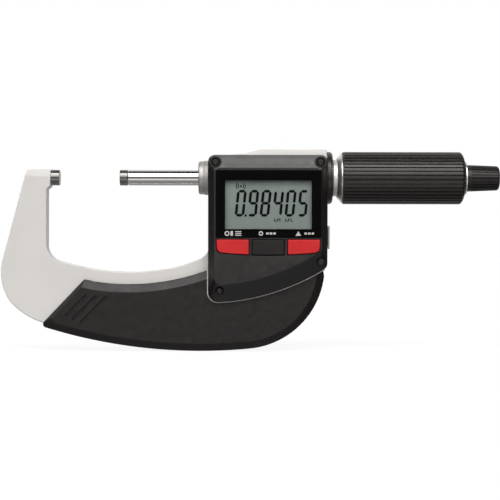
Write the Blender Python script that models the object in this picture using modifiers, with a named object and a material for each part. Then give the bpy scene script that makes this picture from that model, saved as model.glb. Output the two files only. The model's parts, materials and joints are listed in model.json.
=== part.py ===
"""Digital outside micrometer, 25 to 50 mm, standing at its shortest reading of 25 mm.

The spindle lies along X. The origin is the centre of the anvil's measuring face, Z is up and the
display faces -Y. Lengths are in metres.
"""
import math

import bmesh
import bpy
from mathutils import Matrix

MM = 0.001
GAP = 0.3 * MM                      # running and assembly clearance between neighbouring pieces

# Measuring line
READING = 25.0 * MM                 # anvil face to spindle face
SPINDLE_R = 3.25 * MM
THREAD_R = 3.8 * MM
TIP_LENGTH = 3.3 * MM
ANVIL_LENGTH = 3.7 * MM

# Frame
FRAME_HALF = 4.0 * MM               # half the thickness of the U
THROAT_X, THROAT_Z, THROAT_R = 28.9 * MM, 49.9 * MM, 88.9 * MM
BOSS_X0, BOSS_X1 = 61.9 * MM, 110.4 * MM
BOSS_HALF = 8.5 * MM
BOSS_Z0, BOSS_Z1 = -9.0 * MM, 11.3 * MM
GUIDE_BORE_R = 6.3 * MM
ENCODER_BORE_R = 7.3 * MM
ENCODER_X = 84.2 * MM               # where the wide bore for the encoder and sleeve begins

# Display housing
HOUSING_X0, HOUSING_X1 = 61.8 * MM, 110.5 * MM
HOUSING_TOP = 8.8 * MM
HOUSING_ARC_X, HOUSING_ARC_Z, HOUSING_ARC_R = 59.8 * MM, 43.7 * MM, 95.2 * MM
RIM_Y = 11.5 * MM                   # depth of the housing's rim in front of the axis
FRONT_Y = 15.0 * MM                 # depth of its raised face
RAISED_HALF = 21.8 * MM             # half the width of the raised face
LOWER_FLANGE, UPPER_FLANGE = 7.2 * MM, 5.0 * MM
BACK_Y = 10.8 * MM
GASKET = 0.6 * MM
SCREW_SPOTS = [(64.8 * MM, 5.85 * MM), (107.6 * MM, 5.85 * MM),
               (66.6 * MM, -46.4 * MM), (107.7 * MM, -34.6 * MM)]
SCREW_HEAD_R, SCREW_SHANK_R = 1.7 * MM, 0.9 * MM
KEY_TOP = -25.7 * MM
KEY_SPANS = [(65.4 * MM, 78.4 * MM), (79.8 * MM, 92.7 * MM), (94.2 * MM, 107.2 * MM)]
BATTERY_X, BATTERY_Z, BATTERY_R = 87.0 * MM, -27.0 * MM, 10.0 * MM
CAP_R = 12.0 * MM

# Grips
GRIP_HALF = 8.5 * MM
GRIP_DROP = 5.0 * MM                # strip of bare frame between the throat and the grips
GRIP_SCREW_SPOTS = [(18.0 * MM, -55.0 * MM), (90.0 * MM, -56.0 * MM)]

# Thimble
SLEEVE_R = 7.6 * MM
THIMBLE_X0, THIMBLE_X1 = 117.6 * MM, 168.2 * MM
THIMBLE_R = 10.8 * MM
CORE_R = 9.0 * MM
KNOB_X0, KNOB_X1 = 169.3 * MM, 182.0 * MM
KNOB_R0, KNOB_R1 = 5.5 * MM, 5.1 * MM

ROUND = 24                          # segments of a large round piece
SMALL = 16                          # segments of a small one

parts = None
cutters = None


# ---------------------------------------------------------------- helpers

def start_scene():
    global parts, cutters
    for item in list(bpy.data.objects):
        bpy.data.objects.remove(item, do_unlink=True)
    parts = bpy.data.collections.new("outside_micrometer")
    cutters = bpy.data.collections.new("cutters")
    bpy.context.scene.collection.children.link(parts)
    bpy.context.scene.collection.children.link(cutters)


def material(name, colour, roughness, metallic=0.0):
    made = bpy.data.materials.new(name)
    made.use_nodes = True
    shader = made.node_tree.nodes["Principled BSDF"]
    shader.inputs["Base Color"].default_value = (*colour, 1.0)
    shader.inputs["Roughness"].default_value = roughness
    shader.inputs["Metallic"].default_value = metallic
    made.diffuse_color = (*colour, 1.0)
    return made


def add(name, mesh, finish):
    item = bpy.data.objects.new(name, mesh)
    if finish:
        mesh.materials.append(finish)
    parts.objects.link(item)
    return item


def as_cutter(item):
    parts.objects.unlink(item)
    cutters.objects.link(item)
    item.hide_render = True
    item.display_type = "WIRE"
    return item


def boolean(item, other, operation="DIFFERENCE"):
    """Cuts, joins or keeps the overlap of two solids; the second one becomes a hidden guide."""
    if other.name not in cutters.objects:
        as_cutter(other)
    step = item.modifiers.new(other.name, "BOOLEAN")
    step.operation = operation
    step.solver = "EXACT"
    step.object = other


def smooth(item, angle=35):
    item.data.shade_smooth()
    item.data.set_sharp_from_angle(angle=math.radians(angle))


def box(name, low, high, finish=None):
    mesh = bpy.data.meshes.new(name)
    shape = bmesh.new()
    bmesh.ops.create_cube(shape, size=1.0)
    size = [b - a for a, b in zip(low, high)]
    middle = [(a + b) / 2 for a, b in zip(low, high)]
    bmesh.ops.scale(shape, vec=size, verts=shape.verts)
    shape.to_mesh(mesh)
    shape.free()
    item = add(name, mesh, finish)
    item.location = middle
    return item


def rod(name, start, end, radius, finish=None, axis="X", centre=(0.0, 0.0), segments=SMALL):
    """A plain cylinder from start to end along X or Y, centred on (y, z) or (x, z)."""
    mesh = bpy.data.meshes.new(name)
    shape = bmesh.new()
    bmesh.ops.create_cone(shape, cap_ends=True, segments=segments, radius1=radius,
                          radius2=radius, depth=abs(end - start))
    shape.to_mesh(mesh)
    shape.free()
    item = add(name, mesh, finish)
    middle = (start + end) / 2
    if axis == "X":
        item.rotation_euler = (0.0, math.pi / 2, 0.0)
        item.location = (middle, centre[0], centre[1])
    else:
        item.rotation_euler = (math.pi / 2, 0.0, 0.0)
        item.location = (centre[0], middle, centre[1])
    smooth(item)
    return item


def turned(name, profile, finish=None, segments=ROUND, centre=None):
    """Turns (position, radius) points about the X axis, or about a line along Y through centre.

    A profile that starts and ends at radius 0 is a solid; any other is closed into a ring.
    """
    solid = profile[0][1] == 0.0
    area = sum(a[0] * b[1] - b[0] * a[1] for a, b in zip(profile, profile[1:] + profile[:1]))
    points = profile if area > 0 else profile[::-1]
    mesh = bpy.data.meshes.new(name)
    shape = bmesh.new()
    verts = [shape.verts.new((radius, 0.0, place)) for place, radius in points]
    for a, b in zip(verts, verts[1:]):
        shape.edges.new((a, b))
    if not solid:
        shape.edges.new((verts[-1], verts[0]))
    shape.to_mesh(mesh)
    shape.free()
    item = add(name, mesh, finish)
    if centre is None:
        item.rotation_euler = (0.0, math.pi / 2, 0.0)
    else:
        item.rotation_euler = (math.pi / 2, 0.0, 0.0)
        item.location = (centre[0], 0.0, centre[1])
    screw = item.modifiers.new("turn", "SCREW")
    screw.steps = segments
    screw.render_steps = segments
    screw.use_merge_vertices = True
    screw.merge_threshold = 0.00001
    screw.use_smooth_shade = True
    return item


def bar(x0, x1, outer, inner=0.0, chamfer=0.0):
    """The profile of a cylinder or tube along X, with its outer corners cut."""
    outside = [(x1, outer - chamfer), (x1 - chamfer, outer), (x0 + chamfer, outer), (x0, outer - chamfer)]
    if chamfer == 0.0:
        outside = [(x1, outer), (x0, outer)]
    return [(x1, inner)] + outside + [(x0, inner)]


def prism(name, outline, y0, y1, finish=None, holes=()):
    """A flat outline in X and Z, made as thick as the span from y0 to y1."""
    curve = bpy.data.curves.new(name, "CURVE")
    curve.dimensions = "2D"
    curve.fill_mode = "BOTH"
    curve.extrude = abs(y1 - y0) / 2
    for loop in [outline, *holes]:
        spline = curve.splines.new("POLY")
        spline.points.add(len(loop) - 1)
        for point, (x, z) in zip(spline.points, loop):
            point.co = (x, z, 0.0, 1.0)
        spline.use_cyclic_u = True
    flat = bpy.data.objects.new(name + "_outline", curve)
    parts.objects.link(flat)
    flat.rotation_euler = (math.pi / 2, 0.0, 0.0)
    flat.location = (0.0, (y0 + y1) / 2, 0.0)
    bpy.context.view_layer.update()
    view = bpy.context.evaluated_depsgraph_get()
    mesh = bpy.data.meshes.new_from_object(flat.evaluated_get(view))
    shape = bmesh.new()
    shape.from_mesh(mesh)
    bmesh.ops.remove_doubles(shape, verts=shape.verts, dist=0.000001)
    bmesh.ops.recalc_face_normals(shape, faces=shape.faces)
    shape.to_mesh(mesh)
    shape.free()
    item = add(name, mesh, finish)
    item.matrix_world = flat.matrix_world
    bpy.data.objects.remove(flat, do_unlink=True)
    bpy.data.curves.remove(curve)
    mesh.name = name
    return item


def soften(item, width, segments=1, angle=50):
    edge = item.modifiers.new("soften", "BEVEL")
    edge.width = width
    edge.segments = segments
    edge.limit_method = "ANGLE"
    edge.angle_limit = math.radians(angle)
    return edge


def arc(start, middle, end, steps):
    """Points on the circle through three points, leaving out the first."""
    (ax, az), (bx, bz), (cx, cz) = start, middle, end
    d = 2 * (ax * (bz - cz) + bx * (cz - az) + cx * (az - bz))
    sa, sb, sc = ax * ax + az * az, bx * bx + bz * bz, cx * cx + cz * cz
    ox = (sa * (bz - cz) + sb * (cz - az) + sc * (az - bz)) / d
    oz = (sa * (cx - bx) + sb * (ax - cx) + sc * (bx - ax)) / d
    radius = math.hypot(ax - ox, az - oz)
    first = math.atan2(az - oz, ax - ox)
    turn = math.atan2(cz - oz, cx - ox) - first
    half = math.atan2(bz - oz, bx - ox) - first
    turn %= 2 * math.pi
    if half % (2 * math.pi) > turn:
        turn -= 2 * math.pi
    angles = [first + turn * (i + 1) / steps for i in range(steps)]
    return [(ox + radius * math.cos(a), oz + radius * math.sin(a)) for a in angles]


def corner(before, point, after, radius, steps=4):
    """Points of a round of the given radius between two straight edges."""
    bx, bz = before[0] - point[0], before[1] - point[1]
    ax, az = after[0] - point[0], after[1] - point[1]
    lb, la = math.hypot(bx, bz), math.hypot(ax, az)
    bx, bz, ax, az = bx / lb, bz / lb, ax / la, az / la
    half = math.acos(max(-1.0, min(1.0, bx * ax + bz * az))) / 2
    reach = radius / math.tan(half)
    first = (point[0] + bx * reach, point[1] + bz * reach)
    last = (point[0] + ax * reach, point[1] + az * reach)
    mx, mz = bx + ax, bz + az
    lm = math.hypot(mx, mz)
    centre_reach = radius / math.sin(half)
    near = (point[0] + mx / lm * (centre_reach - radius), point[1] + mz / lm * (centre_reach - radius))
    return [first] + arc(first, near, last, steps)


def on_arc(x, centre_x, centre_z, radius):
    """The lowest point of a circle at x."""
    return (x, centre_z - math.sqrt(radius ** 2 - (x - centre_x) ** 2))


def disc(centre, radius, steps=16, start=0.0):
    return [(centre[0] + radius * math.cos(start + 2 * math.pi * i / steps),
             centre[1] + radius * math.sin(start + 2 * math.pi * i / steps)) for i in range(steps)]


# ---------------------------------------------------------------- outlines

def throat_point(x):
    return on_arc(x, THROAT_X, THROAT_Z, THROAT_R)


def frame_outline():
    """The U, from the top of the anvil's boss round the outside and back up the throat."""
    edge = [(-4.0 * MM, 3.3 * MM), (-12.5 * MM, 3.3 * MM), (-14.0 * MM, 0.0), (-14.7 * MM, -2.2 * MM)]
    heel = (-19.9 * MM, -51.5 * MM)
    shin = (-23.2 * MM, -34.2 * MM)
    edge += [shin] + arc(shin, (-23.45 * MM, -43.3 * MM), heel, 5)
    toe = (-4.5 * MM, -60.6 * MM)
    edge += arc(heel, (-14.2 * MM, -56.4 * MM), toe, 4)
    low = (78.5 * MM, -68.4 * MM)
    edge += arc(toe, (26.0 * MM, -67.1 * MM), low, 9)
    side = (107.5 * MM, -40.5 * MM)
    edge += arc(low, (98.4 * MM, -58.8 * MM), side, 8)
    edge += [(109.6 * MM, -35.0 * MM), (109.6 * MM, 4.0 * MM), (64.0 * MM, 4.0 * MM), (62.2 * MM, -5.0 * MM)]
    wall = 62.2 * MM
    right = throat_point(wall)
    edge += corner((wall, 0.0), (right[0], right[1] + 0.4 * MM), throat_point(52.0 * MM), 7.0 * MM, 5)
    edge += arc(throat_point(53.0 * MM), throat_point(29.0 * MM), throat_point(7.0 * MM), 9)
    inner = -5.0 * MM
    left = throat_point(inner)
    edge += corner(throat_point(6.0 * MM), (inner, left[1] - 1.0 * MM), (inner, 0.0), 9.2 * MM, 6)
    edge += [(inner, -4.7 * MM), (-4.0 * MM, -3.6 * MM)]
    return edge


def housing_outline(inset=0.0, top=HOUSING_TOP):
    """The display housing: straight top and sides and a bottom edge along one arc."""
    x0, x1 = HOUSING_X0 + inset, HOUSING_X1 - inset
    radius = HOUSING_ARC_R - inset
    z1 = top - inset
    bottom = [on_arc(x, HOUSING_ARC_X, HOUSING_ARC_Z, radius) for x in (x0, x0 + 9.0 * MM, x1, x1 - 4.0 * MM)]
    big, tight, upper = 8.4 * MM - inset, 2.6 * MM - inset * 0.6, max(2.9 * MM - inset, 0.6 * MM)
    edge = corner((x1, 0.0), (x1, z1), (x0, z1), upper)
    edge += corner((x1, z1), (x0, z1), (x0, 0.0), upper)
    edge += corner((x0, 0.0), bottom[0], bottom[1], big, 7)
    start = on_arc(x0 + 9.5 * MM, HOUSING_ARC_X, HOUSING_ARC_Z, radius)
    middle = on_arc(90.0 * MM, HOUSING_ARC_X, HOUSING_ARC_Z, radius)
    end = on_arc(x1 - 3.0 * MM, HOUSING_ARC_X, HOUSING_ARC_Z, radius)
    edge += [start] + arc(start, middle, end, 8)
    edge += corner(bottom[3], bottom[2], (x1, 0.0), tight, 3)
    return edge


def raised_point(point):
    """Where the housing's bevel brings a point of its outline on the raised face."""
    x, z = point
    middle = (HOUSING_X0 + HOUSING_X1) / 2
    new_x = middle + (x - middle) * (RAISED_HALF / (HOUSING_X1 - middle))
    low = on_arc(x, HOUSING_ARC_X, HOUSING_ARC_Z, HOUSING_ARC_R)[1]
    share = (z - low) / (HOUSING_TOP - low)
    new_low = on_arc(new_x, HOUSING_ARC_X, HOUSING_ARC_Z, HOUSING_ARC_R - LOWER_FLANGE)[1]
    return (new_x, new_low + share * (HOUSING_TOP - UPPER_FLANGE - new_low))


def cavity_outline():
    """The room inside the housing, clear of the four screws."""
    x0, x1, top = 63.4 * MM, 108.9 * MM, 3.8 * MM
    low = [on_arc(x, HOUSING_ARC_X, HOUSING_ARC_Z, HOUSING_ARC_R - 8.4 * MM) for x in (x0, 86.0 * MM, x1)]
    return [(x1, top), (x0, top), low[0]] + arc(low[0], low[1], low[2], 8)


def grip_outline(inset=0.0):
    """The insulating plate: throat side, slanted end, long bottom sweep and right side."""
    left_top = (11.4 * MM + inset, -42.1 * MM - inset)
    edge = [left_top]
    heel = (-5.3 * MM + inset, -58.0 * MM)
    edge += corner(left_top, heel, (-3.4 * MM + inset, -62.3 * MM + inset), 1.5 * MM, 2)
    toe = (-2.6 * MM + inset, -62.6 * MM + inset)
    low = (79.0 * MM, -70.4 * MM + inset)
    edge += [toe] + arc(toe, (28.0 * MM, -69.2 * MM + inset), low, 9)
    side = (109.4 * MM - inset, -40.6 * MM)
    edge += arc(low, (100.0 * MM - inset * 0.7, -60.3 * MM + inset * 0.7), side, 8)
    gap = 0.45 * MM
    radius = HOUSING_ARC_R + gap + inset
    start = on_arc(109.0 * MM - inset, HOUSING_ARC_X, HOUSING_ARC_Z, radius)
    end = on_arc(71.5 * MM, HOUSING_ARC_X, HOUSING_ARC_Z, radius)
    edge += [start] + arc(start, on_arc(90.0 * MM, HOUSING_ARC_X, HOUSING_ARC_Z, radius), end, 8)
    x0 = HOUSING_X0 - gap - inset
    edge += corner(end, on_arc(x0, HOUSING_ARC_X, HOUSING_ARC_Z, radius), (x0, 0.0), 8.8 * MM + inset, 7)
    crest = on_arc(x0, THROAT_X, THROAT_Z, THROAT_R + GRIP_DROP + inset)
    crown = on_arc(34.0 * MM, THROAT_X, THROAT_Z, THROAT_R + GRIP_DROP + inset)
    shoulder = on_arc(14.5 * MM, THROAT_X, THROAT_Z, THROAT_R + GRIP_DROP + inset)
    edge += [crest] + arc(crest, crown, shoulder, 9)
    return edge


# ---------------------------------------------------------------- frame and measuring line

def build_frame(finish):
    frame = prism("frame", frame_outline(), -FRAME_HALF, FRAME_HALF, finish)
    soften(frame, 0.7 * MM)
    boss_edge = [(BOSS_X0, BOSS_Z0), (BOSS_X1, BOSS_Z0), (BOSS_X1, BOSS_Z1), (83.0 * MM, BOSS_Z1),
                 (76.5 * MM, 9.6 * MM), (BOSS_X0, 8.3 * MM)]
    boss = prism("frame_boss", boss_edge, -BOSS_HALF, BOSS_HALF)
    soften(boss, 0.6 * MM)
    boolean(frame, boss, "UNION")
    for side in (-1, 1):
        wedge = box("arm_chamfer", (-14.5 * MM, -2.0 * MM, -2.0 * MM), (-3.0 * MM, 2.0 * MM, 2.0 * MM))
        wedge.rotation_euler = (math.radians(45), 0.0, 0.0)
        reach = 2.0 * MM * math.sqrt(2) - 2.6 * MM
        wedge.location = (wedge.location[0], side * (FRAME_HALF + reach), 3.3 * MM + 0.1 * MM)
        boolean(frame, wedge)
    boolean(frame, rod("anvil_bore", -12.3 * MM, -3.0 * MM, 2.3 * MM))
    boolean(frame, rod("guide_bore", 55.0 * MM, 100.0 * MM, GUIDE_BORE_R))
    boolean(frame, rod("encoder_bore", ENCODER_X, 115.0 * MM, ENCODER_BORE_R))
    window = box("contact_window", (83.5 * MM, -6.0 * MM, -38.6 * MM), (90.5 * MM, 6.0 * MM, -20.5 * MM))
    boolean(frame, window)
    boolean(frame, box("flex_slot", (85.4 * MM, -9.0 * MM, -3.3 * MM), (87.0 * MM, -5.0 * MM, 3.3 * MM)))
    for side in (-1, 1):
        for i, spot in enumerate(SCREW_SPOTS):
            face, depth = (BOSS_HALF, 3.9 * MM) if i < 2 else (FRAME_HALF, 3.4 * MM)
            start, end = side * (face + 1.0 * MM), side * (face - depth)
            boolean(frame, rod("screw_hole", start, end, SCREW_SHANK_R + GAP, axis="Y", centre=spot,
                               segments=12))
    for spot in GRIP_SCREW_SPOTS:
        boolean(frame, rod("grip_screw_hole", -6.0 * MM, 6.0 * MM, 1.3 * MM, axis="Y", centre=spot,
                           segments=12))
    return frame


def build_measuring_line(steel, carbide, satin, rubber):
    pin = [(-4.0 * MM, 0.0), (-4.0 * MM, 2.0 * MM), (-12.0 * MM, 2.0 * MM), (-12.0 * MM, 0.0)]
    turned("anvil", pin, steel, SMALL)
    turned("anvil_tip", bar(-ANVIL_LENGTH, 0.0, SPINDLE_R, 0.0, 0.12 * MM), carbide)
    turned("spindle_tip", bar(READING, READING + TIP_LENGTH, SPINDLE_R, 0.0, 0.12 * MM), carbide)
    start = READING + TIP_LENGTH + GAP
    hollow = 1.8 * MM
    shaft = [(start, 0.0), (start, SPINDLE_R), (101.5 * MM, SPINDLE_R), (102.0 * MM, THREAD_R),
             (151.9 * MM, THREAD_R), (151.9 * MM, 3.0 * MM), (157.0 * MM, 3.0 * MM),
             (157.0 * MM, hollow), (152.7 * MM, hollow), (152.7 * MM, 0.0)]
    spindle = turned("spindle", shaft, steel)
    boolean(spindle, box("keyway", (63.5 * MM, -0.75 * MM, 2.4 * MM), (93.5 * MM, 0.75 * MM, 5.0 * MM)))

    nose = [(57.6 * MM, 3.55 * MM), (57.6 * MM, 5.9 * MM), (58.4 * MM, 6.8 * MM), (59.9 * MM, 6.9 * MM),
            (60.1 * MM, 7.1 * MM), (61.6 * MM, 7.1 * MM), (61.6 * MM, 6.0 * MM), (83.8 * MM, 6.0 * MM),
            (83.8 * MM, 3.55 * MM), (60.7 * MM, 3.55 * MM), (60.7 * MM, 4.7 * MM), (59.0 * MM, 4.7 * MM),
            (59.0 * MM, 3.55 * MM)]
    turned("spindle_guide_bush", nose, satin)
    turned("spindle_wiper_seal", bar(59.3 * MM, 60.4 * MM, 4.4 * MM, 3.55 * MM), rubber, SMALL)
    return spindle


# ---------------------------------------------------------------- encoder

def build_encoder(board, steel, brass, gold):
    turned("encoder_stator", bar(86.5 * MM, 88.0 * MM, 7.0 * MM, 4.5 * MM), board)
    turned("encoder_rotor", bar(88.4 * MM, 89.6 * MM, 6.7 * MM, 4.4 * MM), board)
    sleeve = [(84.8 * MM, 3.55 * MM), (84.8 * MM, 4.1 * MM), (89.9 * MM, 4.1 * MM), (89.9 * MM, 5.4 * MM),
              (92.6 * MM, 5.4 * MM), (92.6 * MM, 3.55 * MM)]
    bush = turned("rotor_bush", sleeve, brass)
    boolean(bush, box("key_slot", (90.3 * MM, -0.75 * MM, 3.0 * MM), (92.2 * MM, 0.75 * MM, 7.0 * MM)))
    box("rotor_key", (90.6 * MM, -0.45 * MM, 2.7 * MM), (91.9 * MM, 0.45 * MM, 4.9 * MM), steel)
    turned("rotor_thrust_washer", bar(92.9 * MM, 93.8 * MM, 7.0 * MM, 4.1 * MM), steel, SMALL)
    box("encoder_flex_cable", (86.1 * MM, -8.6 * MM, -3.0 * MM), (86.4 * MM, -7.1 * MM, 3.0 * MM), gold)


# ---------------------------------------------------------------- sleeve, nut and thimble

def build_sleeve(satin, black, brass, steel):
    tube = [(94.2 * MM, 6.0 * MM), (94.2 * MM, 7.0 * MM), (113.6 * MM, 7.0 * MM), (113.6 * MM, SLEEVE_R),
            (145.9 * MM, SLEEVE_R), (145.9 * MM, 6.6 * MM), (126.7 * MM, 6.6 * MM), (126.7 * MM, 6.0 * MM)]
    turned("sleeve", tube, satin)
    ring = [(110.7 * MM, 7.3 * MM), (110.7 * MM, THIMBLE_R), (112.7 * MM, THIMBLE_R),
            (113.3 * MM, THIMBLE_R - 0.6 * MM), (113.3 * MM, 7.3 * MM)]
    turned("sleeve_flange", ring, black)
    nut = [(127.0 * MM, 4.1 * MM), (127.0 * MM, 6.3 * MM), (138.5 * MM, 6.3 * MM), (138.5 * MM, 5.2 * MM),
           (145.6 * MM, 5.2 * MM), (145.6 * MM, 4.1 * MM)]
    turned("spindle_nut", nut, brass)
    turned("adjusting_nut", bar(139.5 * MM, 145.2 * MM, 6.3 * MM, 5.5 * MM), steel, SMALL)


def build_thimble(steel, chrome, black):
    core = [(114.8 * MM, 7.95 * MM), (114.8 * MM, 8.2 * MM), (116.4 * MM, 9.8 * MM), (116.7 * MM, 9.8 * MM),
            (116.7 * MM, CORE_R), (166.1 * MM, CORE_R), (166.1 * MM, 7.9 * MM), (152.0 * MM, 7.9 * MM),
            (152.0 * MM, 4.1 * MM), (147.0 * MM, 4.1 * MM), (147.0 * MM, 7.95 * MM)]
    turned("thimble_core", core, chrome)
    turned("thimble_front_ring", bar(117.0 * MM, 117.4 * MM, 10.2 * MM, 9.3 * MM), chrome)
    cover = [(THIMBLE_X0 + 0.1 * MM, 9.3 * MM), (THIMBLE_X0 + 0.1 * MM, 10.3 * MM),
             (118.3 * MM, THIMBLE_R), (166.2 * MM, THIMBLE_R), (167.3 * MM, 9.6 * MM),
             (167.9 * MM, 8.2 * MM), (THIMBLE_X1, 7.1 * MM), (166.4 * MM, 7.1 * MM), (166.4 * MM, 9.3 * MM)]
    turned("thimble_cover", cover, black, 32)
    turned("thimble_end_ring", bar(163.7 * MM, 169.0 * MM, 6.8 * MM, 5.0 * MM), chrome)
    nut = rod("thimble_lock_nut", 152.3 * MM, 155.3 * MM, 6.4 * MM, steel, segments=6)
    boolean(nut, rod("lock_nut_bore", 150.0 * MM, 160.0 * MM, 3.3 * MM))


def build_ratchet(steel, black, brass):
    stem = [(153.0 * MM, 0.0), (153.0 * MM, 1.5 * MM), (157.3 * MM, 1.5 * MM), (157.3 * MM, 6.2 * MM),
            (158.8 * MM, 6.2 * MM), (158.8 * MM, 2.2 * MM), (178.0 * MM, 2.2 * MM), (178.0 * MM, 0.0)]
    turned("ratchet_stem", stem, steel, SMALL)
    for name, x0, finish, reach in (("ratchet_wheel", 159.1 * MM, steel, 6.2 * MM),
                                    ("ratchet_pawl_plate", 161.4 * MM, brass, 6.2 * MM)):
        toothed_disc(name, x0, x0 + 2.0 * MM, reach, 2.5 * MM, finish)
    grip = [(163.7 * MM, 3.9 * MM), (163.7 * MM, 4.7 * MM), (KNOB_X0, 4.7 * MM), (KNOB_X0, KNOB_R0),
            (171.0 * MM, KNOB_R0), (KNOB_X1 - 1.2 * MM, KNOB_R1), (KNOB_X1 - 0.4 * MM, KNOB_R1 - 0.4 * MM),
            (KNOB_X1, KNOB_R1 - 1.3 * MM), (KNOB_X1, 0.0), (178.6 * MM, 0.0), (178.6 * MM, 2.5 * MM),
            (173.5 * MM, 2.5 * MM), (173.5 * MM, 3.9 * MM)]
    ring = grip[grip.index((KNOB_X1, 0.0)) + 1:] + grip[:grip.index((KNOB_X1, 0.0)) + 1]
    turned("ratchet_knob", ring, black)
    coil("ratchet_spring", 164.2 * MM, 173.0 * MM, 3.2 * MM, 0.3 * MM, 5, steel)


def toothed_disc(name, x0, x1, radius, bore, finish, teeth=16, depth=0.7 * MM):
    """A disc with saw teeth round its rim, turned to lie across the X axis."""
    edge = []
    for i in range(teeth):
        angle = 2 * math.pi * i / teeth
        edge.append((radius * math.cos(angle), radius * math.sin(angle)))
        edge.append(((radius - depth) * math.cos(angle + 0.05), (radius - depth) * math.sin(angle + 0.05)))
    wheel = prism(name, edge, x0, x1, finish, [disc((0.0, 0.0), bore, 16)])
    wheel.data.transform(Matrix.Rotation(math.pi / 2, 4, "X"))
    wheel.rotation_euler = (0.0, 0.0, -math.pi / 2)
    wheel.location = ((x0 + x1) / 2, 0.0, 0.0)
    return wheel


def coil(name, x0, x1, radius, wire, turns, finish, per_turn=8):
    curve = bpy.data.curves.new(name, "CURVE")
    curve.dimensions = "3D"
    curve.bevel_depth = wire
    curve.bevel_resolution = 2
    curve.use_fill_caps = True
    spline = curve.splines.new("POLY")
    count = turns * per_turn
    spline.points.add(count)
    for i, point in enumerate(spline.points):
        angle = 2 * math.pi * i / per_turn
        point.co = (x0 + (x1 - x0) * i / count, radius * math.cos(angle), radius * math.sin(angle), 1.0)
    curve.materials.append(finish)
    item = bpy.data.objects.new(name, curve)
    parts.objects.link(item)
    return item


# ---------------------------------------------------------------- display housing

def loft(name, rings, finish):
    """Skins a stack of outlines with the same number of points, each given as (y, outline)."""
    mesh = bpy.data.meshes.new(name)
    shape = bmesh.new()
    layers = [[shape.verts.new((x, y, z)) for x, z in outline] for y, outline in rings]
    count = len(layers[0])
    for low, high in zip(layers, layers[1:]):
        for i in range(count):
            j = (i + 1) % count
            shape.faces.new((low[i], low[j], high[j], high[i]))
    shape.faces.new(layers[0])
    shape.faces.new(layers[-1])
    bmesh.ops.recalc_face_normals(shape, faces=shape.faces)
    shape.to_mesh(mesh)
    shape.free()
    return add(name, mesh, finish)


def key_bottom(x):
    middle = (KEY_SPANS[1][0] + KEY_SPANS[1][1]) / 2
    return -31.9 * MM + 2.4 * (x - middle) ** 2


def key_outline(index, grow=0.0):
    x0, x1 = KEY_SPANS[index]
    x0, x1, top = x0 - grow, x1 + grow, KEY_TOP + grow
    steps = 5
    along = [x0 + (x1 - x0) * i / steps for i in range(steps + 1)]
    bottom = [(x, key_bottom(x) - grow) for x in along]
    edge = [(x1, top), (x0, top)]
    if index == 0:
        edge += corner((x0, top), bottom[0], bottom[2], 2.0 * MM, 3) + bottom[2:]
    elif index == 2:
        edge += bottom[:-2] + corner(bottom[-3], bottom[-1], (x1, top), 2.0 * MM, 3)
    else:
        edge += bottom
    return edge


def build_front_cover(finish):
    outline = housing_outline()
    raised = [raised_point(point) for point in outline]
    back = FRAME_HALF + GAP + GASKET + GAP
    cover = loft("front_cover", [(-back, outline), (-RIM_Y, outline), (-FRONT_Y, raised)], finish)
    boolean(cover, prism("front_room", cavity_outline(), -12.9 * MM, -3.0 * MM))
    notch = box("boss_notch", (60.0 * MM, -BOSS_HALF - GAP, BOSS_Z0 - GAP), (112.0 * MM, 0.0, 12.0 * MM))
    boolean(cover, notch)
    boolean(cover, box("lcd_window", (66.6 * MM, -20.0 * MM, -23.8 * MM), (106.0 * MM, -12.0 * MM, 0.9 * MM)))
    rebate = box("glass_rebate", (64.8 * MM, -20.0 * MM, -25.05 * MM), (108.0 * MM, -13.7 * MM, 2.5 * MM))
    boolean(cover, rebate)
    key_room = box("key_room", (64.55 * MM, -13.9 * MM, -32.6 * MM), (107.85 * MM, -11.2 * MM, -24.9 * MM))
    boolean(cover, key_room)
    for i in range(3):
        boolean(cover, prism("key_hole", key_outline(i, GAP), -20.0 * MM, -13.0 * MM))
    for spot in SCREW_SPOTS:
        boolean(cover, rod("head_hole", -20.0 * MM, -11.0 * MM, SCREW_HEAD_R + GAP, axis="Y", centre=spot))
        boolean(cover, rod("shank_hole", -20.0 * MM, 0.0, SCREW_SHANK_R + GAP, axis="Y", centre=spot,
                           segments=12))
    boolean(cover, box("port_hole", (107.0 * MM, -8.9 * MM, -28.4 * MM), (112.0 * MM, -6.1 * MM, -21.0 * MM)))
    return cover


def build_rear_cover(finish):
    outline = housing_outline()
    near = [(x * 0.985 + 0.015 * BATTERY_X, z * 0.985 + 0.015 * -20.0 * MM) for x, z in outline]
    front = FRAME_HALF + GAP + GASKET + GAP
    cover = loft("rear_cover", [(front, outline), (BACK_Y - 0.8 * MM, outline), (BACK_Y, near)], finish)
    boolean(cover, prism("rear_room", cavity_outline(), 3.0 * MM, 9.0 * MM))
    notch = box("rear_notch", (60.0 * MM, 0.0, BOSS_Z0 - GAP), (112.0 * MM, BOSS_HALF + GAP, 12.0 * MM))
    boolean(cover, notch)
    centre = (BATTERY_X, BATTERY_Z)
    wall = rod("cell_wall", 5.0 * MM, 9.4 * MM, CAP_R + 1.4 * MM, axis="Y", centre=centre, segments=ROUND)
    boolean(cover, wall, "UNION")
    boolean(cover, rod("cap_hole", 4.0 * MM, 12.0 * MM, CAP_R + GAP, axis="Y", centre=centre, segments=ROUND))
    wall_slot = box("cell_wall_slot", (84.4 * MM, 4.0 * MM, -41.0 * MM), (89.6 * MM, 8.6 * MM, -36.0 * MM))
    boolean(cover, wall_slot)
    for spot in SCREW_SPOTS:
        boolean(cover, rod("rear_head_hole", 9.6 * MM, 13.0 * MM, SCREW_HEAD_R + GAP, axis="Y", centre=spot))
        boolean(cover, rod("rear_shank_hole", 0.0, 13.0 * MM, SCREW_SHANK_R + GAP, axis="Y", centre=spot,
                           segments=12))
    return cover


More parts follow.
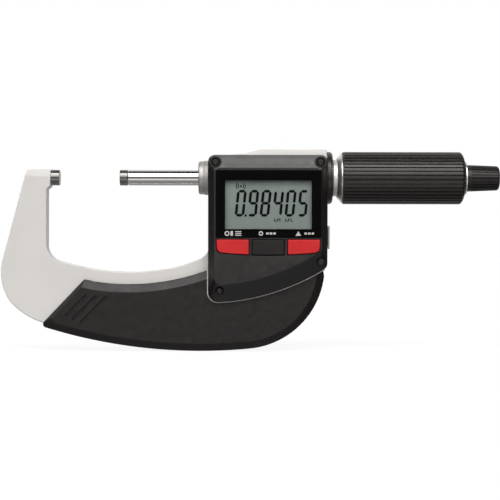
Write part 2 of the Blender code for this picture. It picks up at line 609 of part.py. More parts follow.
def build_gaskets(rubber):
    """Seals between the frame and the two covers, open at the boss."""
    for name, side in (("front_gasket", -1), ("rear_gasket", 1)):
        y0, y1 = side * (FRAME_HALF + GAP), side * (FRAME_HALF + GAP + GASKET)
        seal = prism(name, housing_outline(0.4 * MM), min(y0, y1), max(y0, y1), rubber)
        boolean(seal, prism("seal_room", cavity_outline(), -8.0 * MM, 8.0 * MM))
        notch = box("seal_notch", (60.0 * MM, -9.0 * MM, BOSS_Z0 - GAP), (112.0 * MM, 9.0 * MM, 12.0 * MM))
        boolean(seal, notch)
        for spot in SCREW_SPOTS[2:]:
            boolean(seal, rod("seal_hole", -8.0 * MM, 8.0 * MM, SCREW_SHANK_R + GAP, axis="Y", centre=spot,
                              segments=12))


def build_display(glass, lcd, board, plastic, rubber):
    box("display_window", (65.1 * MM, -14.95 * MM, -24.75 * MM), (107.7 * MM, -14.0 * MM, 2.2 * MM), glass)
    box("lcd_module", (67.0 * MM, -13.4 * MM, -23.4 * MM), (105.6 * MM, -12.0 * MM, 0.5 * MM), lcd)
    carrier = box("lcd_carrier", (66.9 * MM, -11.7 * MM, -23.5 * MM), (105.7 * MM, -10.2 * MM, 0.6 * MM),
                  plastic)
    room = box("carrier_room", (69.0 * MM, -14.0 * MM, -22.2 * MM), (103.6 * MM, -8.0 * MM, -0.7 * MM))
    boolean(carrier, room)
    strips = (("upper_contact_strip", -2.6 * MM), ("lower_contact_strip", -22.0 * MM + GAP))
    for name, z in strips:
        box(name, (69.4 * MM, -11.7 * MM, z), (103.2 * MM, -10.2 * MM, z + 1.4 * MM), rubber)
    outline = [(64.0 * MM, 3.2 * MM), (64.0 * MM, -37.0 * MM), (90.0 * MM, -34.5 * MM),
               (108.3 * MM, -26.0 * MM), (108.3 * MM, 3.2 * MM)]
    prism("circuit_board", outline, -9.9 * MM, -8.9 * MM, board)
    mat = [(65.0 * MM, -25.0 * MM), (107.6 * MM, -25.0 * MM), (107.6 * MM, -26.6 * MM),
           (93.0 * MM, -32.4 * MM), (65.0 * MM, -32.4 * MM)]
    prism("key_mat", mat, -11.3 * MM, -10.2 * MM, rubber)


def build_keys(red, black):
    """Each key's origin is the middle of its face, on the line it slides along."""
    for i, (name, finish) in enumerate((("key_left", red), ("key_middle", black), ("key_right", red))):
        key = prism(name, key_outline(i), -FRONT_Y - 0.45 * MM, -12.4 * MM, finish)
        soften(key, 0.25 * MM, angle=60)
        middle = ((KEY_SPANS[i][0] + KEY_SPANS[i][1]) / 2, -FRONT_Y, -28.6 * MM)
        key.data.transform(Matrix.Translation([-a for a in middle]) @ key.matrix_world)
        key.matrix_world = Matrix.Translation(middle)


def build_power(steel, gold, black, rubber):
    centre = (BATTERY_X, BATTERY_Z)
    cell = [(5.2 * MM, 0.0), (5.2 * MM, 8.6 * MM), (5.5 * MM, 8.6 * MM), (5.9 * MM, BATTERY_R),
            (8.4 * MM, BATTERY_R), (8.4 * MM, 0.0)]
    turned("battery", [(-y, r) for y, r in cell], steel, SMALL, centre)
    side_view = [(4.9 * MM, -32.0 * MM), (4.9 * MM, -22.0 * MM), (-8.6 * MM, -22.0 * MM),
                 (-8.6 * MM, -22.4 * MM), (4.5 * MM, -22.4 * MM), (4.5 * MM, -32.0 * MM)]
    bent_strip("battery_contact_minus", side_view, 85.0 * MM, 89.0 * MM, gold)
    side_view = [(8.2 * MM, -37.4 * MM), (8.2 * MM, -37.8 * MM), (-8.6 * MM, -37.8 * MM),
                 (-8.6 * MM, -33.2 * MM), (-8.2 * MM, -33.2 * MM), (-8.2 * MM, -37.4 * MM)]
    bent_strip("battery_contact_plus", side_view, 85.0 * MM, 89.0 * MM, gold)
    cap = [(BACK_Y, 0.0), (BACK_Y, CAP_R - 0.3 * MM), (BACK_Y - 0.3 * MM, CAP_R), (9.7 * MM, CAP_R),
           (9.7 * MM, 11.0 * MM), (8.8 * MM, 11.0 * MM), (8.8 * MM, 0.0)]
    cover = turned("battery_cover", [(-y, r) for y, r in cap], black, ROUND, centre)
    slot = box("coin_slot", (79.5 * MM, 9.9 * MM, BATTERY_Z - 0.9 * MM),
               (94.5 * MM, 12.0 * MM, BATTERY_Z + 0.9 * MM))
    boolean(cover, slot)
    seal = [(8.75 * MM, 11.3 * MM), (8.75 * MM, 12.0 * MM), (9.4 * MM, 12.0 * MM), (9.4 * MM, 11.3 * MM)]
    turned("battery_cover_seal", [(-y, r) for y, r in seal], rubber, SMALL, centre)


def bent_strip(name, side_view, x0, x1, finish):
    """A folded metal strip, drawn by its side view in (y, z) and made as wide as x0 to x1."""
    strip = prism(name, side_view, x0, x1, finish)
    strip.data.transform(Matrix.Rotation(math.pi / 2, 4, "X"))
    strip.data.transform(Matrix.Rotation(math.pi / 2, 4, "Z"))
    strip.rotation_euler = (0.0, 0.0, 0.0)
    strip.location = ((x0 + x1) / 2, 0.0, 0.0)
    return strip


def build_port(black, plastic):
    box("data_port_socket", (102.5 * MM, -8.6 * MM, -28.2 * MM), (107.6 * MM, -5.4 * MM, -21.2 * MM), plastic)
    cover = box("data_port_cover", (110.8 * MM, -10.6 * MM, -29.4 * MM), (111.4 * MM, -5.4 * MM, -20.0 * MM),
                black)
    plug = box("port_plug", (108.4 * MM, -8.6 * MM, -28.1 * MM), (111.1 * MM, -6.4 * MM, -21.3 * MM))
    boolean(cover, plug, "UNION")


def cover_screw(name, spot, side, head_y, end_y, steel):
    profile = [(head_y, 0.0), (head_y, SCREW_HEAD_R), (head_y - 1.1 * MM, SCREW_HEAD_R),
               (head_y - 1.1 * MM, SCREW_SHANK_R), (end_y, SCREW_SHANK_R), (end_y, 0.0)]
    screw = turned(name, [(-side * y, r) for y, r in profile], steel, 10, spot)
    for i, (half_x, half_z) in enumerate(((1.0 * MM, 0.22 * MM), (0.22 * MM, 1.0 * MM))):
        low = (spot[0] - half_x, side * (head_y - 0.5 * MM), spot[1] - half_z)
        high = (spot[0] + half_x, side * (head_y + 1.0 * MM), spot[1] + half_z)
        ordered = [tuple(f(a, b) for a, b in zip(low, high)) for f in (min, max)]
        boolean(screw, box("cross_recess", *ordered))
    return screw


def build_screws(steel):
    for i, spot in enumerate(SCREW_SPOTS):
        end_y = BOSS_HALF - 3.4 * MM if i < 2 else FRAME_HALF - 2.9 * MM
        cover_screw(f"front_cover_screw_{i + 1}", spot, -1, 12.4 * MM, end_y, steel)
        cover_screw(f"rear_cover_screw_{i + 1}", spot, 1, BACK_Y, end_y, steel)
    for i, spot in enumerate(GRIP_SCREW_SPOTS):
        cover_screw(f"grip_screw_{i + 1}", spot, 1, GRIP_HALF - 0.2 * MM, -6.4 * MM, steel)


# ---------------------------------------------------------------- grips

def build_grip(name, side, finish):
    """One insulating plate; its rim wraps round the frame's edge to the middle plane."""
    bevel = 2.8 * MM
    outer = grip_outline()
    inner = grip_outline(bevel)
    rings = [(side * GAP / 2, outer), (side * (GRIP_HALF - 2.2 * MM), outer), (side * GRIP_HALF, inner)]
    grip = loft(name, rings, finish)
    far = 30.0 * MM
    toe, low, side_top = (-2.6 * MM, -61.3 * MM), (79.0 * MM, -69.1 * MM), (108.1 * MM, -40.6 * MM)
    room = [(-far, toe[1]), toe] + arc(toe, (28.0 * MM, -67.9 * MM), low, 9)
    room += arc(low, (99.1 * MM, -59.4 * MM), side_top, 8)
    room += [(110.2 * MM, -35.0 * MM), (110.2 * MM, far), (-far, far)]
    reach = FRAME_HALF + GAP
    y0, y1 = sorted((-side * 1.0 * MM, side * reach))
    boolean(grip, prism("frame_room", room, y0, y1))
    for spot in GRIP_SCREW_SPOTS:
        if side > 0:
            start, end = GRIP_HALF - 1.6 * MM, GRIP_HALF + 2.0 * MM
            boolean(grip, rod("grip_head_hole", start, end, SCREW_HEAD_R + GAP, axis="Y", centre=spot))
            boolean(grip, rod("grip_shank_hole", 0.0, end, SCREW_SHANK_R + GAP, axis="Y", centre=spot,
                              segments=12))
        else:
            boolean(grip, rod("grip_pilot_hole", -6.8 * MM, 0.0, SCREW_SHANK_R + GAP, axis="Y", centre=spot,
                              segments=12))
    return grip


def build_grip_grooves(grip):
    """Three slanted finger grooves near the left end of the front plate."""
    for i in range(3):
        top = (12.3 * MM + 3.95 * MM * i, -48.8 * MM - 0.15 * MM * i)
        angle = math.radians(46.0)
        length = (12.2 + 1.2 * i) * MM
        groove = box("finger_groove", (-length / 2, -0.4 * MM, -0.35 * MM), (length / 2, 0.4 * MM, 0.35 * MM))
        middle_x, middle_z = top[0] - math.cos(angle) * length / 2, top[1] - math.sin(angle) * length / 2
        groove.location = (middle_x, -GRIP_HALF, middle_z)
        groove.rotation_euler = (0.0, -angle, 0.0)
        boolean(grip, groove)


# ---------------------------------------------------------------- assembly

def empty(name, place):
    item = bpy.data.objects.new(name, None)
    item.location = place
    item.empty_display_size = 5 * MM
    parts.objects.link(item)
    return item


def attach(names, anchor):
    """Parents pieces to an empty on their joint's axis without moving them."""
    bpy.context.view_layer.update()
    for name in names:
        piece = bpy.data.objects[name]
        piece.parent = anchor
        piece.matrix_parent_inverse = anchor.matrix_world.inverted()


def build():
    start_scene()
    paint = material("frame_paint", (0.67, 0.65, 0.63), 0.45)
    steel = material("ground_steel", (0.62, 0.60, 0.59), 0.22, 1.0)
    carbide = material("carbide", (0.10, 0.10, 0.10), 0.30, 1.0)
    satin = material("satin_chrome", (0.55, 0.53, 0.52), 0.38, 1.0)
    chrome = material("polished_chrome", (0.70, 0.69, 0.68), 0.12, 1.0)
    housing = material("housing_plastic", (0.035, 0.032, 0.031), 0.42)
    grip_finish = material("grip_plastic", (0.040, 0.034, 0.033), 0.55)
    black = material("black_cover", (0.028, 0.025, 0.024), 0.40)
    red = material("red_key", (0.58, 0.035, 0.038), 0.40)
    glass = material("window_black", (0.006, 0.007, 0.007), 0.08)
    lcd = material("lcd_glass", (0.17, 0.20, 0.18), 0.30)
    board = material("circuit_board", (0.02, 0.10, 0.05), 0.50)
    rubber = material("seal_rubber", (0.02, 0.02, 0.02), 0.80)
    brass = material("brass", (0.60, 0.42, 0.16), 0.35, 1.0)
    gold = material("contact_gold", (0.75, 0.55, 0.22), 0.30, 1.0)
    plastic = material("inner_plastic", (0.06, 0.06, 0.06), 0.60)

    build_frame(paint)
    build_measuring_line(steel, carbide, satin, rubber)
    build_encoder(board, steel, brass, gold)
    build_sleeve(satin, black, brass, steel)
    build_thimble(steel, chrome, black)
    build_ratchet(steel, black, brass)
    build_front_cover(housing)
    build_rear_cover(housing)
    build_gaskets(rubber)
    build_display(glass, lcd, board, plastic, rubber)
    build_keys(red, black)
    build_power(steel, gold, black, rubber)
    build_port(black, plastic)
    build_screws(steel)
    build_grip_grooves(build_grip("grip_front", -1, grip_finish))
    build_grip("grip_rear", 1, grip_finish)

    turning = empty("encoder_rotor_axis", (ENCODER_X, 0.0, 0.0))
    sliding = empty("spindle_axis", (READING, 0.0, 0.0))
    knob = empty("ratchet_axis", (KNOB_X0, 0.0, 0.0))
    attach(["encoder_rotor", "rotor_bush", "rotor_key"], turning)
    attach(["spindle", "spindle_tip", "thimble_core", "thimble_front_ring", "thimble_cover",
            "thimble_end_ring", "thimble_lock_nut", "ratchet_stem", "ratchet_wheel"], sliding)
    attach(["ratchet_knob", "ratchet_pawl_plate", "ratchet_spring"], knob)


build()
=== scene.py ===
"""The looks of a digital outside micrometer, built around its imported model.

Lengths are in metres. X runs along the spindle, Z is up and the display faces -Y.
"""
import json
import math

import bmesh
import bpy
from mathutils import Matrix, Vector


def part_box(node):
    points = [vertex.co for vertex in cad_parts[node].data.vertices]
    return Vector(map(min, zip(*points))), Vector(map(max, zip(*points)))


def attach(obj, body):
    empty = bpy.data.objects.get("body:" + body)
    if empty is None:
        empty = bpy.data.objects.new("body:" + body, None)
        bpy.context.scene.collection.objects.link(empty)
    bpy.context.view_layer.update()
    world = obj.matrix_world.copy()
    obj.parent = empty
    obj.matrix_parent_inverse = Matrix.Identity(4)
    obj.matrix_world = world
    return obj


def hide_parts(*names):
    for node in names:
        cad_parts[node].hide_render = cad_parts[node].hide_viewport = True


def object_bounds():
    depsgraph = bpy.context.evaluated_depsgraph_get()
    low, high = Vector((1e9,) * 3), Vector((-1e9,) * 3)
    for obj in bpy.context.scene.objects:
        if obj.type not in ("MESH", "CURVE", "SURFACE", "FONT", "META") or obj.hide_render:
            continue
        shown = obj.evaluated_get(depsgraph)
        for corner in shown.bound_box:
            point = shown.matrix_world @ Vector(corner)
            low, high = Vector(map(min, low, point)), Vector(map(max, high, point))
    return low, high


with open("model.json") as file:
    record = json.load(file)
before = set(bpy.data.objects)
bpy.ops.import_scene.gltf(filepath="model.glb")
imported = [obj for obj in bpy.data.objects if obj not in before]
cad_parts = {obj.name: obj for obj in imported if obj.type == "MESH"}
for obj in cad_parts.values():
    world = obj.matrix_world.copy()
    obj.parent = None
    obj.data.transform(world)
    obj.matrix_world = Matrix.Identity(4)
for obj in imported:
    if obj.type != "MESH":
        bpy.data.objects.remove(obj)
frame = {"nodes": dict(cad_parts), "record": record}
cad_low, cad_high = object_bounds()
MM = 0.001


def mm(*numbers):
    return tuple(number * MM for number in numbers)


# Measures shared by several pieces
GAP = 0.3 * MM  # play round an inserted piece
THROAT_X, THROAT_Z, THROAT_R = mm(28.9, 49.9, 88.9)  # the arc of the frame's throat
ARC_X, ARC_Z, ARC_R = mm(59.8, 43.7, 95.2)  # the arc of the housing's bottom edge
HEEL_ROUND = 8.4 * MM  # the housing's lower left corner
FRAME_HALF, BOSS_HALF = mm(4.0, 8.5)  # half depths of the frame's arm and boss
GRIP_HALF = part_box("grip_rear")[1].y
RIM_Y = 11.5 * MM  # depth of the front cover's rim, before its lean
RAISED_HALF = 21.8 * MM  # half width of the front cover's raised face
LOWER_FLANGE, UPPER_FLANGE = mm(7.2, 5.4)  # heights of the slopes below and above that face
FRONT_ROOM_Y = -12.9 * MM  # inner side of the raised face
SCREW_SPOTS = [mm(64.8, 5.85), mm(107.6, 5.85), mm(66.6, -46.4), mm(107.7, -34.6)]
GRIP_SCREW_SPOTS = [mm(18.0, -55.0), mm(90.0, -56.0)]
HEAD_HOLE, SHANK_HOLE = mm(1.80, 1.2)  # radii for the cover and grip screws
ROUND = 96  # segments of a turned piece
FULL_TURN = 2 * math.pi
MERGE = 0.0000005  # points closer than this become one
EDGE_SHARE = 0.48  # the most that a round takes of an edge
STRAIGHT = math.radians(87)  # half of the angle from which a corner stays as it is
BASE, SPINDLE, RATCHET = "base", "spindle_group", "ratchet"


# ------------ materials

def shader_of(made):
    return made.node_tree.nodes["Principled BSDF"]


def graph(owner):
    return owner.node_tree.nodes, owner.node_tree.links


def fill(node, values):
    for socket, value in values.items():
        node.inputs[socket].default_value = value


def plain(name, colour, roughness, metallic=0.0, specular=0.5, coat=0.0):
    made = bpy.data.materials.new(name)
    made.use_nodes = True
    fill(shader_of(made), {"Base Color": (*colour, 1.0), "Roughness": roughness, "Metallic": metallic,
                           "Specular IOR Level": specular, "Coat Weight": coat})
    return made


def noise_node(made, scale, detail=3.0, stretch=(1.0, 1.0, 1.0)):
    """Noise with features of about 1/scale millimetres, closer together along an axis of higher stretch."""
    nodes, links = graph(made)
    where = nodes.new("ShaderNodeTexCoord")
    mapping = nodes.new("ShaderNodeMapping")
    noise = nodes.new("ShaderNodeTexNoise")
    fill(mapping, {"Scale": [factor / MM for factor in stretch]})
    fill(noise, {"Scale": scale, "Detail": detail})
    links.new(where.outputs["Object"], mapping.inputs["Vector"])
    links.new(mapping.outputs["Vector"], noise.inputs["Vector"])
    return noise.outputs["Fac"]


def bump(made, height, strength, distance):
    """Adds a height to the bumps that the material already has."""
    nodes, links = graph(made)
    node = nodes.new("ShaderNodeBump")
    fill(node, {"Strength": strength, "Distance": distance})
    links.new(height, node.inputs["Height"])
    normal = shader_of(made).inputs["Normal"]
    if normal.is_linked:
        links.new(normal.links[0].from_socket, node.inputs["Normal"])
    links.new(node.outputs["Normal"], normal)


def map_range(owner, value, low, high, to_low, to_high):
    """Carries a value from one range into another."""
    nodes, links = graph(owner)
    span = nodes.new("ShaderNodeMapRange")
    fill(span, {"From Min": low, "From Max": high, "To Min": to_low, "To Max": to_high})
    links.new(value, span.inputs["Value"])
    return span.outputs["Result"]


NOISE_LOW, NOISE_HIGH = 0.3, 0.7  # the part of a noise's range that counts


def vary_colour(made, factor, colour, dark, light):
    """The base colour runs from dark to light times the colour, with the factor."""
    nodes, links = graph(made)
    ramp = nodes.new("ShaderNodeValToRGB")
    for stop, place, share in zip(ramp.color_ramp.elements, (NOISE_LOW, NOISE_HIGH), (dark, light)):
        stop.position = place
        stop.color = (*tinted(colour, share), 1.0)
    links.new(factor, ramp.inputs["Fac"])
    links.new(ramp.outputs["Color"], shader_of(made).inputs["Base Color"])


def vary_roughness(made, factor, low, high):
    span = map_range(made, factor, NOISE_LOW, NOISE_HIGH, low, high)
    made.node_tree.links.new(span, shader_of(made).inputs["Roughness"])


def worn_and_highlit_edges(made, colour, amount, start=0.52, end=0.60):
    """Mixes a lighter colour into a varied one where the surface is sharply convex: partly rubbed wear,
    partly a painted highlight on edges and ridges.
    """
    nodes, links = graph(made)
    geometry = nodes.new("ShaderNodeNewGeometry")
    mix = nodes.new("ShaderNodeMix")
    mix.data_type = "RGBA"
    factor, first, second, result = mix.inputs[0], mix.inputs[6], mix.inputs[7], mix.outputs[2]
    second.default_value = (*colour, 1.0)
    links.new(map_range(made, geometry.outputs["Pointiness"], start, end, 0.0, amount), factor)
    base = shader_of(made).inputs["Base Color"]
    links.new(base.links[0].from_socket, first)
    links.new(result, base)


def tinted(colour, factor):
    return tuple(min(1.0, part * factor) for part in colour)


def moulded(name, colour, roughness, grain=6.0, depth=0.05, specular=0.5, edge_wear_and_highlight=0.0):
    """Moulded plastic: a fine spark-eroded grain, faint mottling and lighter edges, partly rubbed wear and
    partly a painted highlight.
    """
    made = plain(name, colour, roughness, specular=specular)
    vary_colour(made, noise_node(made, 0.12, 4.0), colour, 0.90, 1.12)
    vary_roughness(made, noise_node(made, 0.35, 5.0), roughness - 0.05, roughness + 0.07)
    bump(made, noise_node(made, grain, 2.0), 0.35, depth * MM)
    bump(made, noise_node(made, 0.08, 2.0), 0.15, 0.3 * MM)
    if edge_wear_and_highlight:
        worn_and_highlit_edges(made, tinted(colour, 2.6), edge_wear_and_highlight)
    return made


def turned_metal(name, colour, roughness, lines=9.0, depth=0.012, contrast=0.08):
    """Turned or ground metal: fine rings round the X axis and slightly cloudy gloss."""
    made = plain(name, colour, roughness, metallic=1.0)
    rings = noise_node(made, lines, 3.0, (1.0, 0.002, 0.002))
    vary_colour(made, rings, colour, 1.0 - contrast, 1.0 + contrast)
    vary_roughness(made, noise_node(made, 0.8, 4.0, (1.0, 0.3, 0.3)), roughness * 0.8, roughness * 1.25)
    bump(made, rings, 0.4, depth * MM)
    return made


def painted(name, colour):
    """Lacquer on a forged frame: a soft orange peel with a finer tooth, paler on sharp edges, partly worn and
    partly a painted highlight.
    """
    made = plain(name, colour, 0.42, coat=0.12)
    vary_colour(made, noise_node(made, 0.06, 5.0), colour, 0.975, 1.02)
    vary_roughness(made, noise_node(made, 0.5, 4.0), 0.36, 0.50)
    bump(made, noise_node(made, 1.6, 2.0), 0.25, 0.06 * MM)
    bump(made, noise_node(made, 9.0, 1.0), 0.12, 0.02 * MM)
    worn_and_highlit_edges(made, tinted(colour, 1.10), 0.5, 0.53, 0.62)
    return made


def cast(name, colour, roughness, metallic=1.0, grain=2.0, contrast=0.1):
    """Plain metal or board of an inner piece, with cloudy colour and a slight surface texture."""
    made = plain(name, colour, roughness, metallic)
    vary_colour(made, noise_node(made, grain, 4.0), colour, 1 - contrast, 1 + contrast)
    vary_roughness(made, noise_node(made, grain * 2, 3.0), roughness * 0.85, roughness * 1.2)
    bump(made, noise_node(made, grain * 4, 2.0), 0.2, 0.02 * MM)
    return made


def printed_glass(name, colour):
    """Black print behind a clear, hard face, with the faintest wipe marks in its gloss."""
    made = plain(name, colour, 0.10, specular=0.05)
    vary_colour(made, noise_node(made, 0.2, 3.0), colour, 0.9, 1.15)
    vary_roughness(made, noise_node(made, 0.5, 4.0, (1.0, 1.0, 0.4)), 0.07, 0.15)
    return made


def clear_pane(name):
    """The unprinted middle of the window: almost invisible, with a faint reflection."""
    made = plain(name, (0.02, 0.022, 0.022), 0.06, specular=0.5)
    shader_of(made).inputs["Alpha"].default_value = 0.07
    vary_roughness(made, noise_node(made, 0.5, 3.0), 0.04, 0.09)
    return made


def display_film(name, colour):
    """The display's reflective film: slightly cloudy grey green with a very fine pixel-like tooth."""
    made = plain(name, colour, 0.38, specular=0.35)
    vary_colour(made, noise_node(made, 0.09, 3.0), colour, 0.93, 1.07)
    vary_roughness(made, noise_node(made, 2.0, 3.0), 0.33, 0.45)
    bump(made, noise_node(made, 14.0, 1.0), 0.15, 0.02 * MM)
    return made


PAINT = (0.770, 0.745, 0.722)
STEEL = (0.84, 0.825, 0.815)
HOUSING = (0.0112, 0.0094, 0.0089)
GRIP = (0.0125, 0.0095, 0.0092)
BLACK = (0.020, 0.0165, 0.0155)

# A material for each slot
looks = {
    "frame_paint": painted("frame_lacquer", PAINT),
    "ground_steel": turned_metal("ground_steel", STEEL, 0.07, 3.0, 0.0004, 0.03),
    "carbide": turned_metal("lapped_carbide", (0.26, 0.255, 0.245), 0.24, 7.0, 0.006, 0.12),
    "satin_chrome": turned_metal("satin_chrome", (0.57, 0.555, 0.54), 0.56, 6.0, 0.012, 0.08),
    "polished_chrome": turned_metal("polished_chrome", (0.93, 0.92, 0.915), 0.36, 8.0, 0.003, 0.04),
    "housing_plastic": moulded("housing_grain", HOUSING, 0.36, 5.0, 0.04, 0.72, 0.25),
    "grip_plastic": moulded("grip_grain", GRIP, 0.38, 4.0, 0.05, 0.48, 0.20),
    "black_cover": moulded("black_satin", BLACK, 0.30, 7.0, 0.02, 0.6, 0.35),
    "red_key": moulded("key_red", (0.66, 0.022, 0.026), 0.42, 6.0, 0.03, 0.3, 0.10),
    "black_key": moulded("key_black", (0.0195, 0.0180, 0.0175), 0.44, 6.0, 0.03, 0.2, 0.20),
    "window_black": printed_glass("window_print", (0.0034, 0.0038, 0.0034)),
    "lcd_glass": display_film("display_film", (0.300, 0.350, 0.325)),
    "circuit_board": cast("board_green", (0.015, 0.09, 0.045), 0.45, 0.0, 1.0, 0.25),
    "seal_rubber": moulded("seal_rubber", (0.016, 0.016, 0.016), 0.75, 4.0, 0.05, 0.3),
    "brass": turned_metal("turned_brass", (0.62, 0.43, 0.17), 0.30, 6.0, 0.012, 0.10),
    "contact_gold": cast("gold_plate", (0.76, 0.55, 0.22), 0.28),
    "inner_plastic": moulded("inner_plastic", (0.05, 0.05, 0.05), 0.55, 4.0, 0.05, 0.4),
    "battery_steel": cast("pressed_steel", (0.62, 0.60, 0.59), 0.25, 1.0, 3.0, 0.06),
    "port_cover_grey": moulded("port_grey", (0.46, 0.455, 0.46), 0.50, 5.0, 0.04, 0.4),
    "screw_steel": cast("black_oxide", (0.0105, 0.0092, 0.0088), 0.42, 0.0, 4.0, 0.2),
}
lcd_ink = moulded("display_segment", (0.004, 0.005, 0.005), 0.6, 8.0, 0.01, 0.05)
key_print = moulded("legend_print", (0.62, 0.61, 0.60), 0.55, 8.0, 0.01, 0.3)
knob_plastic = moulded("knob_black", tinted(BLACK, 0.62), 0.34, 7.0, 0.02, 0.45, 0.30)
bright_satin = turned_metal("bright_satin", (0.93, 0.92, 0.91), 0.52, 6.0, 0.010, 0.04)
# Lighter steel for the walls of a screw's cross recess: partly bare metal, partly a painted glint.
glinting_recess_steel = cast("bare_steel_glint", (0.16, 0.155, 0.15), 0.30, 1.0, 6.0, 0.3)
clear = clear_pane("window_clear")

slots = {row["node"]: row["material_slot"] for row in frame["record"]["subparts"]}
for node, item in frame["nodes"].items():
    for place in item.material_slots:
        place.material = looks[slots[node]]


# ------------ helpers

def evaluated(item):
    """Turns an object's modifiers into plain mesh."""
    bpy.context.view_layer.update()
    view = bpy.context.evaluated_depsgraph_get()
    mesh = bpy.data.meshes.new_from_object(item.evaluated_get(view))
    old = item.data
    item.modifiers.clear()
    item.data = mesh
    if old.users == 0:
        bpy.data.meshes.remove(old)
    mesh.name = item.name


def object_of(name, shape, *finishes):
    bmesh.ops.recalc_face_normals(shape, faces=shape.faces)
    mesh = bpy.data.meshes.new(name)
    shape.to_mesh(mesh)
    shape.free()
    for finish in finishes:
        mesh.materials.append(finish)
    item = bpy.data.objects.new(name, mesh)
    bpy.context.scene.collection.objects.link(item)
    return item


def soften(item, width, segments, angle):
    edge = item.modifiers.new("soften", "BEVEL")
    edge.width = width
    edge.segments = segments
    edge.limit_method = "ANGLE"
    edge.angle_limit = math.radians(angle)
    evaluated(item)


def boolean(item, other, operation="DIFFERENCE"):
    step = item.modifiers.new("cut", "BOOLEAN")
    step.operation = operation
    step.solver = "EXACT"
    step.object = other
    step.material_mode = "TRANSFER" if other.data.materials else "INDEX"
    evaluated(item)
    bpy.data.objects.remove(other, do_unlink=True)


def shade(item, angle=32):
    """Smooth shading with hard edges past the angle, and flat faces that stay flat."""
    shape = bmesh.new()
    shape.from_mesh(item.data)
    bmesh.ops.remove_doubles(shape, verts=shape.verts, dist=MERGE)
    bmesh.ops.dissolve_degenerate(shape, edges=shape.edges, dist=MERGE)
    shape.to_mesh(item.data)
    shape.free()
    item.data.shade_smooth()
    item.data.set_sharp_from_angle(angle=math.radians(angle))
    step = item.modifiers.new("flats", "WEIGHTED_NORMAL")
    step.keep_sharp = True
    evaluated(item)


def piece(item, body, slot, *nodes, angle=32):
    """Shades a finished piece, lets it ride on its body and stand for its CAD nodes."""
    shade(item, angle)
    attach(item, body)
    if nodes:
        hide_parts(*nodes)


def arc(start, middle, end, steps):
    """Points on the circle through three points, leaving out the first."""
    (ax, az), (bx, bz), (cx, cz) = start, middle, end
    area = 2 * (ax * (bz - cz) + bx * (cz - az) + cx * (az - bz))
    sa, sb, sc = ax * ax + az * az, bx * bx + bz * bz, cx * cx + cz * cz
    ox = (sa * (bz - cz) + sb * (cz - az) + sc * (az - bz)) / area
    oz = (sa * (cx - bx) + sb * (ax - cx) + sc * (bx - ax)) / area
    radius = math.hypot(ax - ox, az - oz)
    first = math.atan2(az - oz, ax - ox)
    turn = (math.atan2(cz - oz, cx - ox) - first) % FULL_TURN
    half = (math.atan2(bz - oz, bx - ox) - first) % FULL_TURN
    if half > turn:
        turn -= FULL_TURN
    angles = [first + turn * (i + 1) / steps for i in range(steps)]
    return [(ox + radius * math.cos(a), oz + radius * math.sin(a)) for a in angles]


def corner(before, point, after, radius, steps):
    """Points of a round between two straight edges, made smaller where an edge is short."""
    bx, bz = before[0] - point[0], before[1] - point[1]
    ax, az = after[0] - point[0], after[1] - point[1]
    lb, la = math.hypot(bx, bz), math.hypot(ax, az)
    bx, bz, ax, az = bx / lb, bz / lb, ax / la, az / la
    half = math.acos(max(-1.0, min(1.0, bx * ax + bz * az))) / 2
    if radius == 0.0 or half > STRAIGHT:
        return [point]
    reach = min(radius / math.tan(half), EDGE_SHARE * lb, EDGE_SHARE * la)
    radius = reach * math.tan(half)
    first = (point[0] + bx * reach, point[1] + bz * reach)
    last = (point[0] + ax * reach, point[1] + az * reach)
    mx, mz = bx + ax, bz + az
    lm = math.hypot(mx, mz)
    near = radius / math.sin(half) - radius
    middle = (point[0] + mx / lm * near, point[1] + mz / lm * near)
    return [first] + arc(first, middle, last, steps)


def rounded(points, radius, steps=3):
    """A closed outline with every corner rounded."""
    edge = []
    for before, point, after in zip(points[-1:] + points[:-1], points, points[1:] + points[:1]):
        edge += corner(before, point, after, radius, steps)
    return edge


def on_arc(x, centre_x, centre_z, radius):
    """The point at x on the lower half of a circle."""
    return (x, centre_z - math.sqrt(radius ** 2 - (x - centre_x) ** 2))


def bottom_at(x, radius=ARC_R):
    return on_arc(x, ARC_X, ARC_Z, radius)


def throat_point(x):
    return on_arc(x, THROAT_X, THROAT_Z, THROAT_R)


def band(x0, x1, bore, radius):
    """The profile of a plain ring or, without a bore, of a cylinder."""
    return [(x0, bore), (x0, radius), (x1, radius), (x1, bore)]


def bridge(shape, low, high):
    """Joins two loops of vertices with faces. A loop can be one vertex, repeated."""
    for i in range(len(low)):
        j = (i + 1) % len(low)
        ring = [low[i], low[j], high[j], high[i]]
        ring = [vertex for k, vertex in enumerate(ring) if vertex not in ring[:k]]
        if len(ring) > 2:
            shape.faces.new(ring)


def skin(shape, rings):
    """Adds the solid through a stack of outlines with the same number of points, each given as (y, outline).

    y is a number, or a function of a point's height.
    """
    layers = []
    for y, outline in rings:
        layers.append([shape.verts.new((x, y(z) if callable(y) else y, z)) for x, z in outline])
    for low, high in zip(layers, layers[1:]):
        bridge(shape, low, high)
    shape.faces.new(layers[0])
    shape.faces.new(layers[-1])


def loft(name, rings, *finishes):
    shape = bmesh.new()
    skin(shape, rings)
    return object_of(name, shape, *finishes)


def prism(name, outline, y0, y1, *finishes):
    return loft(name, [(y0, outline), (y1, outline)], *finishes)


def between(outer, inner, share):
    return [(a[0] + (b[0] - a[0]) * share, a[1] + (b[1] - a[1]) * share) for a, b in zip(outer, inner)]


def rectangle(x0, z0, x1, z1):
    return [(x0, z0), (x1, z0), (x1, z1), (x0, z1)]


def rectangle_at(centre, half_x, half_z):
    return rectangle(centre[0] - half_x, centre[1] - half_z, centre[0] + half_x, centre[1] + half_z)


